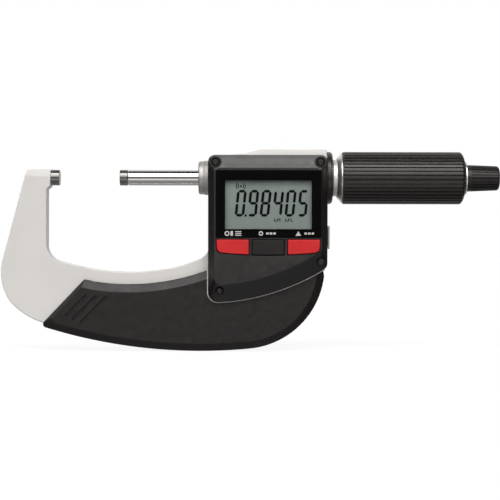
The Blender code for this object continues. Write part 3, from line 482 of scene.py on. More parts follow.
def circle(x, z, radius, steps, start=0.0, turn=FULL_TURN):
    """Points round a centre. A part of a turn has a point at both of its ends."""
    count = steps if turn == FULL_TURN else steps + 1
    angles = [start + turn * i / steps for i in range(count)]
    return [(x + radius * math.cos(angle), z + radius * math.sin(angle)) for angle in angles]


def box(name, low, high, *finishes):
    return prism(name, rectangle(low[0], low[2], high[0], high[2]), low[1], high[1], *finishes)


def spun(shape, points, closed, place):
    """Adds a surface of revolution: place(position, radius, angle) gives each vertex."""
    loops = []
    for position, radius in points:
        if radius < MERGE:
            loops.append([shape.verts.new(place(position, 0.0, 0.0))] * ROUND)
        else:
            angles = [FULL_TURN * i / ROUND for i in range(ROUND)]
            loops.append([shape.verts.new(place(position, radius, angle)) for angle in angles])
    for low, high in list(zip(loops, loops[1:])) + ([(loops[-1], loops[0])] if closed else []):
        bridge(shape, low, high)


def along_x(position, radius, angle):
    return (position, radius * math.cos(angle), radius * math.sin(angle))


def softened(profile, edge):
    """A (position, radius) outline from axis to axis, with small rounds on its corners."""
    path = [profile[0]]
    for before, point, after in zip(profile, profile[1:-1], profile[2:]):
        path += corner(before, point, after, edge, 3)
    return path + [profile[-1]]


def lathe(name, profile, finish, edge):
    """Turns a (position, radius) outline about X. One that starts on the axis is solid, others are rings."""
    solid = profile[0][1] == 0.0
    shape = bmesh.new()
    spun(shape, softened(profile, edge) if solid else rounded(profile, edge), not solid, along_x)
    return object_of(name, shape, finish)


def turned_piece(name, profile, edge, body, slot, node, finish=None):
    """A turned piece that stands for one CAD node."""
    piece(lathe(name, profile, finish or looks[slot], edge), body, slot, node)


def rod(name, y0, y1, radius, centre, finish=None, steps=32):
    """A cylinder along Y."""
    return prism(name, circle(*centre, radius, steps), y0, y1, *([finish] if finish else []))


def turned_on_y(name, profile, centre, finish, edge):
    """Turns a solid (y, radius) outline about a line along Y."""
    def place(position, radius, angle):
        return (centre[0] + radius * math.cos(angle), position, centre[1] + radius * math.sin(angle))

    shape = bmesh.new()
    spun(shape, softened(profile, edge), False, place)
    return object_of(name, shape, finish)


def screw_holes(item, spots, head, shank):
    """Cuts a hole for a screw's head and one for its shank at each spot, each over a range of y."""
    for spot in spots:
        boolean(item, rod("head_hole", *head, HEAD_HOLE, spot, steps=48))
        boolean(item, rod("shank_hole", *shank, SHANK_HOLE, spot, steps=20))


# ------------ frame

def frame_outline():
    seat, inner, wall = mm(-3.5, -5.0, 62.2)
    edge = [(seat, 3.3 * MM)]
    edge += corner((seat, 3.3 * MM), mm(-13.2, 3.3), (-14.0 * MM, 0.0), 0.6 * MM, 4)
    edge += [(-14.0 * MM, 0.0), mm(-14.7, -2.2)]
    shin, heel, toe = mm(-23.2, -34.2), mm(-19.9, -51.5), mm(-4.5, -60.6)
    low, side = mm(78.5, -68.4), mm(107.5, -40.5)
    edge += [shin] + arc(shin, mm(-23.45, -43.3), heel, 14)
    edge += arc(heel, mm(-14.2, -56.4), toe, 10)
    edge += arc(toe, mm(26.0, -67.1), low, 24)
    edge += arc(low, mm(98.4, -58.8), side, 16)
    edge += [mm(109.6, -35.0), mm(109.6, 4.0), mm(64.0, 4.0), mm(62.2, -5.0)]
    right, left = throat_point(wall), throat_point(inner)
    edge += corner((wall, 0.0), (right[0], right[1] + 0.4 * MM), throat_point(52.0 * MM), 7.0 * MM, 14)
    edge += arc(throat_point(53.0 * MM), throat_point(29.0 * MM), throat_point(7.0 * MM), 30)
    edge += corner(throat_point(6.0 * MM), (inner, left[1] - 1.0 * MM), (inner, 0.0), 9.2 * MM, 14)
    edge += corner((inner, -20.0 * MM), (inner, -4.9 * MM), (seat, -3.6 * MM), 0.8 * MM, 3)
    return edge + [(seat, -3.6 * MM)]


def pocket_edge(offset):
    """The housing's lower contour at a distance, from its right end round to the throat."""
    x0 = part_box("front_cover")[0].x - offset
    start, middle, end, heel = (bottom_at(x, ARC_R + offset) for x in (*mm(109.6, 90.0, 71.5), x0))
    edge = [start] + arc(start, middle, end, 20)
    edge += corner(end, heel, (x0, 0.0), HEEL_ROUND + offset, 16)
    return edge + [(x0, -37.9 * MM)]


def build_rim():
    """The frame's painted rim, which shows as a fine line between the housing and the grip."""
    strip = pocket_edge(0.08 * MM) + pocket_edge(0.46 * MM)[::-1]
    rim = prism("painted_rim", strip, -GRIP_HALF - 0.1 * MM, -FRAME_HALF + 0.5 * MM, looks["frame_paint"])
    piece(rim, BASE, "frame_paint")


def wedge(across, face, inner, top, low):
    """A cutter along X, whose slope runs from the face at the low height to the inner depth at the top."""
    shape = bmesh.new()
    profile = ((face, top + MM), (face, low), (inner, top), (inner, top + MM))
    ends = [[shape.verts.new((x, y, z)) for y, z in profile] for x in across]
    bridge(shape, *ends)
    for end in ends:
        shape.faces.new(end)
    return object_of("wedge", shape)


def slope_top(item, across, half, top, deep, down):
    """Slopes a slab's upper edges, front and back."""
    for side in (-1, 1):
        boolean(item, wedge(across, side * half, side * half - side * deep, top, top - down))


def build_frame():
    body = prism("painted_frame", frame_outline(), -FRAME_HALF, FRAME_HALF, looks["frame_paint"])
    soften(body, 0.5 * MM, 3, 45)
    high, left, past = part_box("frame")[1], 61.9 * MM, 0.05 * MM
    boss_edge = [(left, -9.0 * MM), (high.x, -9.0 * MM), (high.x, high.z), (83.0 * MM, high.z),
                 mm(76.5, 9.6), (left, 8.3 * MM)]
    boss = prism("boss", boss_edge, -BOSS_HALF, BOSS_HALF, looks["frame_paint"])
    slope_top(boss, mm(61.0, 112.0), BOSS_HALF + past, high.z + past, 1.0 * MM, 2.9 * MM)
    soften(boss, 0.5 * MM, 3, 25)
    boolean(body, boss, "UNION")
    slope_top(body, mm(-14.5, -3.0), FRAME_HALF + past, 3.35 * MM, 0.85 * MM, 3.3 * MM)
    tip_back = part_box("anvil_tip")[0].x
    for x0, x1, radius in (mm(-12.3, -3.0, 2.3), (tip_back, -3.0 * MM, 3.28 * MM), mm(55.0, 100.0, 6.3),
                           mm(84.2, 115.0, 7.3)):
        boolean(body, lathe("bore", band(x0, x1, 0.0, radius), None, 0.0))
    boolean(body, box("contact_window", mm(83.5, -6.0, -38.6), mm(90.5, 6.0, -20.5)))
    boolean(body, box("flex_slot", mm(85.4, -9.0, -3.3), mm(87.0, -5.0, 3.3)))
    for side in (-1, 1):
        for i, spot in enumerate(SCREW_SPOTS):
            face, depth = (BOSS_HALF, 3.9 * MM) if i < 2 else (FRAME_HALF, 3.4 * MM)
            boolean(body, rod("hole", side * (face + MM), side * (face - depth), SHANK_HOLE, spot, steps=20))
    for spot in GRIP_SCREW_SPOTS:
        boolean(body, rod("hole", -6.0 * MM, 6.0 * MM, 1.3 * MM, spot, steps=20))
    piece(body, BASE, "frame_paint", "frame")


# ------------ measuring line and thimble

def build_measuring_line():
    for node, body in (("anvil_tip", BASE), ("spindle_tip", SPINDLE)):
        low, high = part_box(node)
        turned_piece("lapped_" + node, band(low.x, high.x, 0.0, high.z), 0.13 * MM, body, "carbide", node)
    low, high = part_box("spindle")
    thread, (thin, end, neck, stud, screw_hole) = high.z, mm(3.25, 151.9, 3.0, 152.7, 1.8)
    shaft = [(low.x, 0.0), (low.x, thin), (101.5 * MM, thin), (102.0 * MM, thread), (end, thread),
             (end, neck), (high.x, neck), (high.x, screw_hole), (stud, screw_hole), (stud, 0.0)]
    spindle = lathe("ground_spindle", shaft, looks["ground_steel"], 0.10 * MM)
    boolean(spindle, box("keyway", mm(63.5, -0.75, 2.4), mm(93.5, 0.75, 5.0)))
    piece(spindle, SPINDLE, "ground_steel", "spindle")

    low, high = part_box("spindle_guide_bush")
    bore, groove, shoulder, stem = mm(3.55, 4.7, 61.6, 6.0)
    nose = [(low.x, bore), (low.x, 6.35 * MM), (low.x + 0.4 * MM, 6.8 * MM), (low.x + 2.3 * MM, 6.9 * MM),
            (low.x + 2.5 * MM, high.z), (shoulder, high.z), (shoulder, stem), (high.x, stem), (high.x, bore),
            (60.7 * MM, bore), (60.7 * MM, groove), (59.0 * MM, groove), (59.0 * MM, bore)]
    turned_piece("nose_collar", nose, 0.16 * MM, BASE, "satin_chrome", "spindle_guide_bush")


def build_sleeve():
    low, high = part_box("sleeve")
    bore, wide_bore, root, step, bore_end = mm(6.0, 6.6, 7.0, 113.15, 126.7)
    tube = [(low.x, bore), (low.x, root), (step, root), (step, high.z), (high.x, high.z), (high.x, wide_bore),
            (bore_end, wide_bore), (bore_end, bore)]
    turned_piece("satin_sleeve", tube, 0.15 * MM, BASE, "satin_chrome", "sleeve", bright_satin)
    low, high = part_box("sleeve_flange")
    bore, end = 7.3 * MM, high.x - 0.45 * MM
    ring = [(low.x, bore), (low.x, high.z), (low.x + 1.3 * MM, high.z),
            (low.x + 1.5 * MM, high.z - 0.25 * MM), (low.x + 1.8 * MM, high.z - 0.3 * MM),
            (end, high.z - 0.9 * MM), (end, bore)]
    turned_piece("flange_ring", ring, 0.12 * MM, BASE, "black_cover", "sleeve_flange")


# One rib and the gap after it: share of the pitch, and share of the gap's depth
RIB_PATTERN = ((0.00, 0.08), (0.08, 0.0), (0.44, 0.0), (0.52, 0.08), (0.62, 1.0), (0.92, 1.0))


def ribbed(name, stations, inner, count, depth, finish):
    """A gripping surface: stations are (x, radius, share of the rib depth) and inner closes the bore."""
    shape = bmesh.new()
    loops = []
    for x, radius, share in stations + [(x, radius, 0.0) for x, radius in inner]:
        ring = []
        for rib in range(count):
            for offset, drop in RIB_PATTERN:
                angle = FULL_TURN * (rib + offset) / count
                reach = radius - depth * drop * share
                ring.append(shape.verts.new((x, reach * math.cos(angle), reach * math.sin(angle))))
        loops.append(ring)
    for low, high in zip(loops, loops[1:] + loops[:1]):
        bridge(shape, low, high)
    return object_of(name, shape, finish)


def domed(x, radius, dome):
    """Stations of a rounded end: how far out in x, drop of the radius and rib share, in millimetres."""
    return [(x + out * MM, radius - drop * MM, share) for out, drop, share in dome]


def build_thimble():
    low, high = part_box("thimble_core")
    front, bore, thin, web, web_end, web_bore, mouth = (low.x, *mm(7.95, 9.0, 147.0, 152.0, 4.1, 7.9))
    core = [(front, bore), (front, 8.2 * MM), (front + 1.6 * MM, high.z), (front + 1.9 * MM, high.z),
            (front + 1.9 * MM, thin), (high.x, thin), (high.x, mouth), (web_end, mouth), (web_end, web_bore),
            (web, web_bore), (web, bore)]
    turned_piece("thimble_cone", core, 0.10 * MM, SPINDLE, "polished_chrome", "thimble_core")
    low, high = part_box("thimble_front_ring")
    lead, bore = mm(0.45, 9.3)
    ring = band(low.x - lead, high.x - lead, bore, high.z)
    turned_piece("thimble_bright_ring", ring, 0.08 * MM, SPINDLE, "polished_chrome", "thimble_front_ring")

    low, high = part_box("thimble_cover")
    big, start, end = high.z, low.x - 0.90 * MM, high.x - 0.45 * MM
    stations = [(start, big - 0.55 * MM, 0.0), (start + 0.15 * MM, big - 0.42 * MM, 0.0),
                (start + 0.5 * MM, big - 0.10 * MM, 0.5), (start + 0.9 * MM, big, 1.0)]
    straight = end - 2.1 * MM
    stations += [(start + 0.9 * MM + (straight - start - 0.9 * MM) * i / 8, big, 1.0) for i in range(1, 9)]
    stations += domed(straight, big, ((0.55, 0.35, 1.0), (1.05, 1.0, 0.9), (1.45, 1.9, 0.6),
                                      (1.75, 2.8, 0.25), (1.95, 3.4, 0.0), (2.1, 3.7, 0.0)))
    inner = [(end - 1.0 * MM, 7.1 * MM), (end - 1.0 * MM, bore), (start, bore)]
    cover = ribbed("ribbed_thimble_cover", stations, inner, 40, 0.60 * MM, looks["black_cover"])
    piece(cover, SPINDLE, "black_cover", "thimble_cover", angle=38)

    low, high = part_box("thimble_end_ring")
    ring = band(low.x, high.x - 0.65 * MM, 5.0 * MM, high.z)
    turned_piece("thimble_end_band", ring, 0.10 * MM, SPINDLE, "polished_chrome", "thimble_end_ring")


def build_knob():
    low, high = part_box("ratchet_knob")
    start, wide, narrow, neck, floor, pin = mm(168.65, 5.5, 5.1, 4.7, 178.6, 0.3)
    first, end, ribs = start + 2.2 * MM, high.x - 1.3 * MM, wide - 0.05 * MM
    stations = [(low.x, neck, 0.0), (start, neck, 0.0), (start, wide - 0.15 * MM, 0.0),
                (start + 0.15 * MM, wide, 0.0), (start + 1.6 * MM, wide, 0.0),
                (start + 1.85 * MM, wide - 0.08 * MM, 0.8), (first, ribs, 1.0)]
    stations += [(first + (end - first) * i / 5, ribs - (wide - narrow) * i / 5, 1.0) for i in range(1, 6)]
    stations += domed(end, narrow, ((0.45, 0.10, 0.9), (0.85, 0.32, 0.5), (1.12, 0.68, 0.15),
                                    (1.25, 1.0, 0.0), (1.3, 1.5, 0.0)))
    stations += [(high.x, 1.2 * MM, 0.0), (high.x, pin, 0.0)]
    inner = [(floor, pin), (floor, 2.5 * MM), mm(173.5, 2.5), mm(173.5, 3.9), (low.x, 3.9 * MM)]
    knob = ribbed("ribbed_ratchet_knob", stations, inner, 25, 0.45 * MM, knob_plastic)
    cap = lathe("knob_cap", band(178.7 * MM, high.x, 0.0, 0.6 * MM), knob_plastic, 0.0)
    boolean(knob, cap, "UNION")
    piece(knob, RATCHET, "black_cover", "ratchet_knob", angle=38)


# ------------ display housing

def housing_outline():
    low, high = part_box("front_cover")
    x0, x1, z1 = low.x, high.x, high.z
    bottom = [bottom_at(x) for x in (x0, x0 + 9.0 * MM, x1, x1 - 4.0 * MM)]
    top_round = 2.9 * MM
    edge = corner((x1, 0.0), (x1, z1), (x0, z1), top_round, 10)
    edge += corner((x1, z1), (x0, z1), (x0, 0.0), top_round, 10)
    edge += corner((x0, 0.0), bottom[0], bottom[1], HEEL_ROUND, 18)
    start = bottom_at(x0 + 9.5 * MM)
    edge += [start] + arc(start, bottom_at(90.0 * MM), bottom_at(x1 - 3.0 * MM), 26)
    edge += corner(bottom[3], bottom[2], (x1, 0.0), 2.6 * MM, 8)
    return edge


def raised_point(point):
    """Where the front cover's slope brings a point of its outline on the raised face."""
    low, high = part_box("front_cover")
    x, z = point
    middle = (low.x + high.x) / 2
    new_x = middle + (x - middle) * (RAISED_HALF / (high.x - middle))
    bottom = bottom_at(x)[1]
    share = (z - bottom) / (high.z - bottom)
    new_low = bottom_at(new_x, ARC_R - LOWER_FLANGE)[1]
    return (new_x, new_low + share * (high.z - UPPER_FLANGE - new_low))


def cavity_outline():
    """The outline of the room for the electronics, in both covers."""
    x0, x1, top, wall = mm(63.4, 108.9, 3.8, 8.4)
    low = [bottom_at(x, ARC_R - wall) for x in (x0, 86.0 * MM, x1)]
    return [(x1, top), (x0, top), low[0]] + arc(*low, 24)


KEY_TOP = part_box("key_middle")[1].z
KEY_NODES = ("key_left", "key_middle", "key_right")


def key_outline(index, grow=0.0):
    """A key's outline from the front: straight on top, bowed below, round at the outer lower corners."""
    low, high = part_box(KEY_NODES[index])
    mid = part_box("key_middle")
    centre = (mid[0].x + mid[1].x) / 2
    x0, x1, top = low.x - grow, high.x + grow, KEY_TOP + grow
    steps, lowest, bow = 10, -31.9 * MM, 2.4
    along = [x0 + (x1 - x0) * i / steps for i in range(steps + 1)]
    bottom = [(x, lowest + bow * (x - centre) ** 2 - grow) for x in along]
    edge = [(x1, top), (x0, top)]
    if index == 0:
        edge += corner((x0, top), bottom[0], bottom[4], 2.2 * MM, 7) + bottom[4:]
    elif index == 2:
        edge += bottom[:-4] + corner(bottom[-5], bottom[-1], (x1, top), 2.2 * MM, 7)
    else:
        edge += bottom
    return edge


def build_front_cover():
    low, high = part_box("front_cover")
    outer = housing_outline()
    raised = [raised_point(point) for point in outer]
    face = low.y
    lean_from, lean_span = mm(-30.0, 36.0)
    rim_in, rim_lean, bow = 0.9, 2.1, 0.35

    def level(share):
        """Depths of a ring, by its share of the way from rim to face. The rim leans out at the top."""
        def depth(z):
            rise = max(0.0, min(1.0, (z - lean_from) / lean_span))
            high_up = rise * rise * (3 - 2 * rise)
            rim = -RIM_Y + (rim_in - rim_lean * high_up) * MM
            bend = bow * high_up * max(0.0, share) * (1.0 - share)
            return rim + (face - rim) * (share - bend)
        return depth

    slope = ((-0.03, 0.02), (0.03, 0.07), (0.25, 0.28), (0.48, 0.49), (0.72, 0.71), (0.94, 0.92),
             (0.99, 0.985))
    rings = [(high.y, outer), (level(-0.12), outer)]
    rings += [(level(share), between(outer, raised, inward)) for share, inward in slope]
    rings.append((face, between(outer, raised, 1.01)))
    cover = loft("front_housing", rings, looks["housing_plastic"])
    for spot in SCREW_SPOTS[:2]:
        boolean(cover, rod("pad_room", -20.0 * MM, FRONT_ROOM_Y, 2.55 * MM, spot, steps=48))
        pad = rod("pad", -12.95 * MM, -9.0 * MM, 2.5 * MM, spot, looks["housing_plastic"], steps=48)
        soften(pad, 0.18 * MM, 3, 40)
        boolean(cover, pad, "UNION")
    boolean(cover, prism("front_room", cavity_outline(), FRONT_ROOM_Y, -3.0 * MM))
    boolean(cover, box("boss_notch", (60.0 * MM, -BOSS_HALF - GAP, -9.3 * MM), (112.0 * MM, 0.0, 12.0 * MM)))
    boolean(cover, box("lcd_window", mm(66.6, -20.0, -23.8), mm(106.0, -12.0, 0.9)))
    boolean(cover, box("glass_rebate", mm(64.8, -20.0, -25.05), mm(108.0, -13.7, 2.5)))
    boolean(cover, box("key_room", mm(64.55, -13.9, -32.6), mm(107.85, -11.2, -24.9)))
    for i in range(len(KEY_NODES)):
        boolean(cover, prism("key_hole", key_outline(i, GAP), -20.0 * MM, -13.0 * MM))
    screw_holes(cover, SCREW_SPOTS, mm(-20.0, -11.0), mm(-20.0, 0.0))
    boolean(cover, box("port_hole", mm(107.0, -8.9, -28.4), mm(112.0, -6.1, -21.0)))
    piece(cover, BASE, "housing_plastic", "front_cover")


def build_rear_cover():
    low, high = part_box("rear_cover")
    outer = housing_outline()
    centre = [((low.x + high.x) / 2, -20.0 * MM)] * len(outer)
    rings = [(low.y, outer)]
    for down, share in ((0.8, 0.0), (0.45, 0.004), (0.15, 0.013), (0.0, 0.028)):
        rings.append((high.y - down * MM, between(outer, centre, share)))
    cover = loft("rear_housing", rings, looks["housing_plastic"])
    boolean(cover, prism("rear_room", cavity_outline(), 3.0 * MM, 9.0 * MM))
    boolean(cover, box("rear_notch", (60.0 * MM, 0.0, -9.3 * MM), (112.0 * MM, BOSS_HALF + GAP, 12.0 * MM)))
    cap_low, cap_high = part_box("battery_cover")
    spot = ((cap_low.x + cap_high.x) / 2, (cap_low.z + cap_high.z) / 2)
    cap_r = (cap_high.x - cap_low.x) / 2
    wall = rod("cell_wall", 5.0 * MM, 9.4 * MM, cap_r + 1.4 * MM, spot, looks["housing_plastic"], 64)
    boolean(cover, wall, "UNION")
    boolean(cover, rod("cap_hole", 4.0 * MM, 12.0 * MM, cap_r + GAP, spot, steps=96))
    boolean(cover, box("cell_wall_slot", mm(84.4, 4.0, -41.0), mm(89.6, 8.6, -36.0)))
    screw_holes(cover, SCREW_SPOTS, mm(9.6, 13.0), mm(0.0, 13.0))
    piece(cover, BASE, "housing_plastic", "rear_cover")
    build_battery_cover(spot, cap_r, cap_high.y)


def build_battery_cover(spot, radius, back):
    """A turned cap with a coin slot and a groove round it."""
    groove, seat, stem = back - 0.35 * MM, 9.7 * MM, 11.0 * MM
    profile = [(back, 0.0), (back, radius - 2.6 * MM), (groove, radius - 2.2 * MM),
               (groove, radius - 1.5 * MM), (back, radius - 1.1 * MM), (back, radius), (seat, radius),
               (seat, stem), (8.8 * MM, stem), (8.8 * MM, 0.0)]
    cap = turned_on_y("battery_cap", profile, spot, looks["black_cover"], 0.15 * MM)
    slot = rounded(rectangle_at(spot, 7.5 * MM, 0.9 * MM), 0.85 * MM, 6)
    boolean(cap, prism("coin_slot", slot, back - 0.9 * MM, back + 2.0 * MM))
    piece(cap, "battery_door", "black_cover", "battery_cover")


def build_window():
    low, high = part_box("display_window")
    x0, z0, x1, z1 = mm(68.78, -21.44, 103.85, -1.70)
    play, turn = 0.02 * MM, 0.3 * MM
    edge = rounded(rectangle(low.x, low.z, high.x, high.z), 0.5 * MM, 4)
    border = prism("window_border", edge, low.y, high.y, looks["window_black"])
    soften(border, 0.10 * MM, 2, 40)
    boolean(border, prism("opening", rounded(rectangle(x0, z0, x1, z1), turn, 4), low.y - MM, high.y + MM))
    piece(border, BASE, "window_black", "display_window")
    pane = rounded(rectangle(x0 + play, z0 + play, x1 - play, z1 - play), turn, 4)
    piece(prism("window_pane", pane, low.y + play, low.y + 0.5 * MM, clear), BASE, "window_black")


def hexagon(x0, z0, x1, z1, half):
    """A segment of a digit: a bar with pointed ends, upright or level."""
    if abs(x1 - x0) > abs(z1 - z0):
        return [(x0, z0), (x0 + half, z0 - half), (x1 - half, z1 - half), (x1, z1), (x1 - half, z1 + half),
                (x0 + half, z0 + half)]
    return [(x0, z0), (x0 + half, z0 + half), (x1 + half, z1 - half), (x1, z1), (x1 - half, z1 - half),
            (x0 - half, z0 + half)]


def digit_segments(lit, width, height, half, gap):
    """The outlines of the lit segments of a seven-segment digit whose lower left corner is 0, 0."""
    left, right, low, mid, top = half, width - half, half, height / 2, height - half
    bars = {"a": (left + gap, top, right - gap, top), "g": (left + gap, mid, right - gap, mid),
            "d": (left + gap, low, right - gap, low), "f": (left, mid + gap, left, top - gap),
            "b": (right, mid + gap, right, top - gap), "e": (left, low + gap, left, mid - gap),
            "c": (right, low + gap, right, mid - gap)}
    return [hexagon(*bars[name], half) for name in lit]


def joined(name, outlines, y0, y1, finish):
    """Several flat shapes as separate solids of one piece."""
    shape = bmesh.new()
    for outline in outlines:
        skin(shape, [(y0, outline), (y1, outline)])
    return object_of(name, shape, finish)


def arc_stroke(x, z, radius, half, middle, spread, steps=8):
    """A curved stroke about a centre, spread to both sides of its middle angle."""
    outer = circle(x, z, radius + half, steps, middle - spread, 2 * spread)
    inner = circle(x, z, radius - half, steps, middle - spread, 2 * spread)
    return outer + inner[::-1]


def build_display():
    low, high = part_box("lcd_module")
    edge = rounded(rectangle(low.x, low.z, high.x, high.z), 0.4 * MM)
    plate = prism("display_face", edge, low.y + 0.02 * MM, high.y, looks["lcd_glass"])
    piece(plate, BASE, "lcd_glass", "lcd_module")
    segments = {"0": "abcdef", "9": "abcdfg", "8": "abcdefg", "4": "bcfg", "5": "acdfg"}
    width, height, pitch, half, gap, slant = *mm(3.95, 10.85, 5.06, 0.56, 0.06), 0.105
    first, foot = mm(72.55, -16.35)
    shapes = []
    for place, figure in enumerate("098405"):
        for outline in digit_segments(segments[figure], width, height, half, gap):
            shapes.append([(first + pitch * place + x + slant * z, foot + z) for x, z in outline])
    dot, top = first + width + half, foot + 0.85 * MM
    shapes.append([(dot - 0.42 * MM, foot), (dot + 0.38 * MM, foot), (dot + 0.46 * MM, top),
                   (dot - 0.34 * MM, top)])
    icon = mm(75.15, -4.05)
    shapes.append(circle(*icon, 0.42 * MM, 12))
    for radius in mm(1.05, 1.8):
        for middle in (0.0, math.pi):
            shapes.append(arc_stroke(*icon, radius, 0.17 * MM, middle, 0.72))
    for x0, x1 in (mm(88.7, 91.3), mm(93.2, 96.7)):
        shapes += dashes(x0, x1, -17.75 * MM, 1.25 * MM)
    marks = joined("display_segments", shapes, low.y - 0.01 * MM, low.y + 0.05 * MM, lcd_ink)
    piece(marks, BASE, "lcd_glass")


def dashes(x0, x1, z, height):
    """A generic little sign in place of a word: upright strokes of uneven width."""
    marks = []
    x = x0
    thin, wide, gap = mm(0.36, 0.50, 0.10)
    for i, width in enumerate((thin, wide) * 3):
        end = min(x + width, x1)
        if end - x < gap:
            break
        rise = height if i % 2 == 0 else height * 0.32
        base = z - height / 2 if i % 4 != 3 else z + height * 0.18
        marks.append(rectangle(x, base, end, base + rise))
        x = end + gap
    return marks


def bar(x0, x1, z, half):
    return rectangle(x0, z - half, x1, z + half)


def build_legends():
    """Generic white signs over the three keys: rings, bars, lines and a triangle."""
    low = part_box("display_window")[0]
    z, half = low.z + 1.55 * MM, 0.95 * MM
    shapes = [bar(72.9 * MM, 75.4 * MM, z + (i - 1) * 0.74 * MM, 0.19 * MM) for i in range(3)]
    for x, reach in (mm(69.6, 0.78), mm(83.3, 0.70)):
        for middle in (0.0, math.pi):
            shapes.append(arc_stroke(x, z, reach, 0.22 * MM, middle, math.pi / 2 - 0.001, 12))
    for x0 in mm(85.4, 100.9):
        shapes += [bar(x0 + i * 1.45 * MM, x0 + (i * 1.45 + 1.05) * MM, z, 0.40 * MM) for i in range(3)]
    shapes.append(bar(71.0 * MM, 72.0 * MM, z, half))
    shapes.append([(97.3 * MM, z - half), (99.6 * MM, z - half), (98.45 * MM, z + half)])
    marks = joined("key_signs", shapes, low.y - 0.015 * MM, low.y + 0.03 * MM, key_print)
    piece(marks, BASE, "window_black")


def build_keys():
    for i, node in enumerate(KEY_NODES):
        low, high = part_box(node)
        slot = slots[node]
        key = prism(node + "_cap", key_outline(i), low.y, high.y, looks[slot])
        soften(key, 0.32 * MM, 4, 50)
        piece(key, node.replace("key_", "") + "_key", slot, node)


def build_screw(node, spot, side):
    """A cross-recess screw with a slightly domed head, on the front for side -1 and on the back for 1."""
    low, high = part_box(node)
    head, end = (-low.y, -high.y) if side < 0 else (high.y, low.y)
    radius, shank, long, short = mm(1.68, 0.9, 0.95, 0.17)
    under = head - 1.1 * MM
    profile = [(head, 0.0), (head, 0.7 * MM), (head - 0.12 * MM, 1.25 * MM), (head - 0.35 * MM, radius),
               (under, radius), (under, shank), (end, shank), (end, 0.0)]
    turned = [(side * y, r) for y, r in profile]
    screw = turned_on_y(node + "_steel", turned, spot, looks["screw_steel"], 0.08 * MM)
    y0, y1 = sorted((side * (head - 0.55 * MM), side * (head + MM)))
    # The recess walls get the lighter recess steel, a painted glint.
    for half_x, half_z in ((long, short), (short, long)):
        boolean(screw, prism("recess", rectangle_at(spot, half_x, half_z), y0, y1, glinting_recess_steel))
    piece(screw, BASE, "screw_steel", node)


def build_screws():
    for i, spot in enumerate(SCREW_SPOTS):
        build_screw(f"front_cover_screw_{i + 1}", spot, -1)
        build_screw(f"rear_cover_screw_{i + 1}", spot, 1)
    for i, spot in enumerate(GRIP_SCREW_SPOTS):
        build_screw(f"grip_screw_{i + 1}", spot, 1)


def build_port_cover():
    low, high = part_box("data_port_cover")
    lip = box("port_cap", (110.8 * MM, low.y, low.z), (high.x, high.y, high.z), looks["port_cover_grey"])
    soften(lip, 0.22 * MM, 3, 40)
    plug = box("plug", (low.x, -8.6 * MM, -28.1 * MM), mm(111.1, -6.4, -21.3), looks["port_cover_grey"])
    soften(plug, 0.25 * MM, 2, 40)
    boolean(lip, plug, "UNION")
    piece(lip, "port_door", "port_cover_grey", "data_port_cover")


# ------------ grips

def grip_outline(inset=0.0):
    left_top = (10.8 * MM - inset * 0.27, -42.1 * MM - inset * 0.97)
    heel = (-7.3 * MM + inset * 1.36, -61.2 * MM + inset * 0.64)
    toe = (-2.6 * MM + inset * 1.36, -62.6 * MM + inset * 0.64)
    edge = corner((15.0 * MM, left_top[1]), left_top, heel, 0.9 * MM, 4)
    edge += corner(left_top, heel, toe, 4.4 * MM, 10)
    low = (79.0 * MM, -70.4 * MM + inset)
    edge += [toe] + arc(toe, (28.0 * MM, -69.25 * MM + inset), low, 28)
    side = (109.4 * MM - inset, -40.6 * MM)
    edge += arc(low, (100.0 * MM - inset * 0.7, -60.3 * MM + inset * 0.7), side, 22)
    pocket = pocket_edge(0.5 * MM)
    edge += [(min(x, 109.0 * MM - inset), z) for x, z in pocket[:-1]]
    x0 = pocket[-1][0]
    points = [on_arc(x, THROAT_X, THROAT_Z, THROAT_R + 5.0 * MM + inset) for x in (x0, *mm(34.0, 14.5))]
    return edge + [points[0]] + arc(*points, 26)


def build_grip(name, node, side):
    bevel, deep = 3.3 * MM, 1.95 * MM
    outer, inner = grip_outline(), grip_outline(bevel)
    rings = [(side * GAP / 2, outer), (side * (GRIP_HALF - deep - 0.35 * MM), outer)]
    for down, inward in ((1.0, 0.03), (0.9, 0.10), (0.10, 0.88), (0.02, 0.97), (0.0, 1.06)):
        rings.append((side * (GRIP_HALF - deep * down), between(outer, inner, inward)))
    grip = loft(name, rings, looks["grip_plastic"])
    far = 30.0 * MM
    toe, low, side_top = mm(-2.6, -61.3), mm(79.0, -69.1), mm(108.1, -40.6)
    room = [(-far, toe[1]), toe] + arc(toe, mm(28.0, -67.9), low, 20)
    room += arc(low, mm(99.1, -59.4), side_top, 16)
    room += [mm(110.2, -35.0), (110.2 * MM, far), (-far, far)]
    y0, y1 = sorted((-side * MM, side * (FRAME_HALF + GAP)))
    boolean(grip, prism("frame_room", room, y0, y1))
    if side > 0:
        past = GRIP_HALF + 2.0 * MM
        screw_holes(grip, GRIP_SCREW_SPOTS, (GRIP_HALF - 1.6 * MM, past), (0.0, past))
    else:
        for spot in GRIP_SCREW_SPOTS:
            boolean(grip, rod("pilot_hole", -6.8 * MM, 0.0, SHANK_HOLE, spot, steps=20))
        for i in range(3):
            cut_groove(grip, i)
    piece(grip, BASE, "grip_plastic", node, angle=30)


def cut_groove(grip, index):
    """One of the three slanted grooves near the left end of the front plate, with round ends."""
    top = ((11.5 + 4.2 * index) * MM, (-49.0 - 0.25 * index) * MM)
    length, half, angle = (11.1 + 1.4 * index) * MM, 0.68 * MM, math.radians(45.5)
    foot = (top[0] - math.cos(angle) * length, top[1] - math.sin(angle) * length)
    outline = circle(top[0], top[1], half, 8, angle - math.pi / 2, math.pi)
    outline += circle(foot[0], foot[1], half, 8, angle + math.pi / 2, math.pi)
    boolean(grip, prism("groove", outline, -GRIP_HALF - MM, -GRIP_HALF + 0.8 * MM))


# ------------ studio

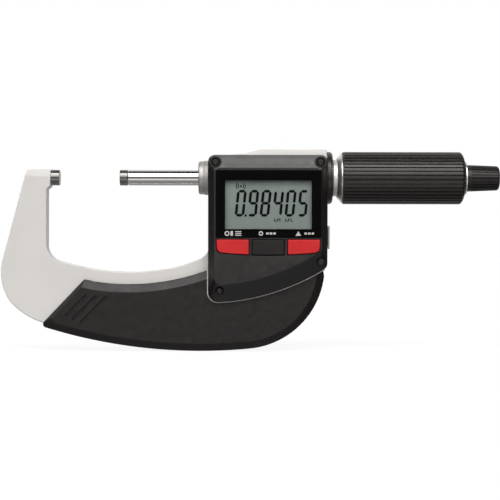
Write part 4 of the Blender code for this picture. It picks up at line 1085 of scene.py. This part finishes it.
def glowing(name, grey, strength):
    """A matte surface that also gives off some white light."""
    made = plain(name, (grey, grey, grey), 0.9, specular=0.0)
    fill(shader_of(made), {"Emission Color": (1.0, 1.0, 1.0, 1.0), "Emission Strength": strength})
    return made


def build_floor():
    """A white floor and dome that only the camera sees, so that they don't change the light."""
    reach, middle, gap = 6.0, 0.08, 0.0002
    shape = bmesh.new()
    bmesh.ops.create_circle(shape, cap_ends=True, segments=64, radius=reach)
    floor = object_of("floor", shape, glowing("white_floor", 0.14, 0.90))
    shape = bmesh.new()
    bmesh.ops.create_uvsphere(shape, u_segments=48, v_segments=24, radius=reach * 0.98)
    dome = object_of("backdrop", shape, glowing("white_backdrop", 0.0, 1.0))
    for item in (floor, dome):
        item.location = (middle, 0.0, cad_low.z - gap)
        item.visible_diffuse = item.visible_glossy = False
        item.visible_transmission = item.visible_shadow = False


# The room's brightness round the X axis as (degrees, strength): 0 is straight in front of the display, 90
# overhead, 180 behind and -90 below. A bright strip hangs above the front, with a dark gap beside it.
STUDIO = ((-180, 0.80), (-150, 0.60), (-122, 0.30), (-95, 0.22), (-75, 0.24), (-46, 0.26), (-40, 0.55),
          (-29, 0.60), (-27, 1.0), (-18, 1.05), (-16, 0.14), (12, 0.14), (15, 2.2), (46, 2.3), (48, 4.9),
          (64, 5.0), (66, 0.01), (106, 0.01), (109, 0.75), (180, 0.80))
SIDE_FROM, SIDE_TO, SIDE_LEVEL = 0.40, 0.78, 0.06  # where the room fades along X, and to what share


def build_light():
    """A room of STUDIO's strips along X, which grows dark towards the two ends of the axis."""
    world = bpy.data.worlds.new("studio")
    bpy.context.scene.world = world
    world.use_nodes = True
    nodes, links = graph(world)

    def maths(operation, first, second=0.0):
        node = nodes.new("ShaderNodeMath")
        node.operation = operation
        for socket, value in zip(node.inputs, (first, second)):
            if isinstance(value, float):
                socket.default_value = value
            else:
                links.new(value, socket)
        return node.outputs["Value"]

    where = nodes.new("ShaderNodeTexCoord")
    parts = nodes.new("ShaderNodeSeparateXYZ")
    links.new(where.outputs["Generated"], parts.inputs["Vector"])
    x, y, z = (parts.outputs[axis] for axis in "XYZ")
    angle = maths("ARCTAN2", z, maths("MULTIPLY", y, -1.0))
    share = maths("MULTIPLY_ADD", angle, 0.5 / math.pi)
    share.node.inputs[2].default_value = 0.5
    ramp = nodes.new("ShaderNodeValToRGB")
    stops = ramp.color_ramp.elements
    while len(stops) < len(STUDIO):
        stops.new(0.5)
    for stop, (degrees, level) in zip(stops, STUDIO):
        stop.position = (degrees + 180) / 360
        stop.color = (level, level, level, 1.0)
    links.new(share, ramp.inputs["Fac"])
    side = map_range(world, maths("ABSOLUTE", x), SIDE_FROM, SIDE_TO, 1.0, SIDE_LEVEL)
    side.node.interpolation_type = "SMOOTHSTEP"
    strength = maths("MULTIPLY", ramp.outputs["Color"], side)
    background = nodes["Background"]
    background.inputs["Color"].default_value = (1.0, 0.995, 0.985, 1.0)
    links.new(strength, background.inputs["Strength"])


def build_camera():
    camera = bpy.data.cameras.new("camera")
    camera.sensor_width = 36.0
    camera.lens = 104.1
    item = bpy.data.objects.new("camera", camera)
    bpy.context.scene.collection.objects.link(item)
    item.location = mm(78.9, -600.0, -29.9)
    item.rotation_euler = (math.pi / 2, -0.0018, 0.0)
    bpy.context.scene.camera = item
    bpy.context.scene.view_settings.view_transform = "Standard"


build_camera()
build_frame()
build_rim()
build_measuring_line()
build_sleeve()
build_thimble()
build_knob()
build_front_cover()
build_rear_cover()
build_window()
build_display()
build_legends()
build_keys()
build_screws()
build_port_cover()
build_grip("front_grip_plate", "grip_front", -1)
build_grip("rear_grip_plate", "grip_rear", 1)
build_floor()
build_light()
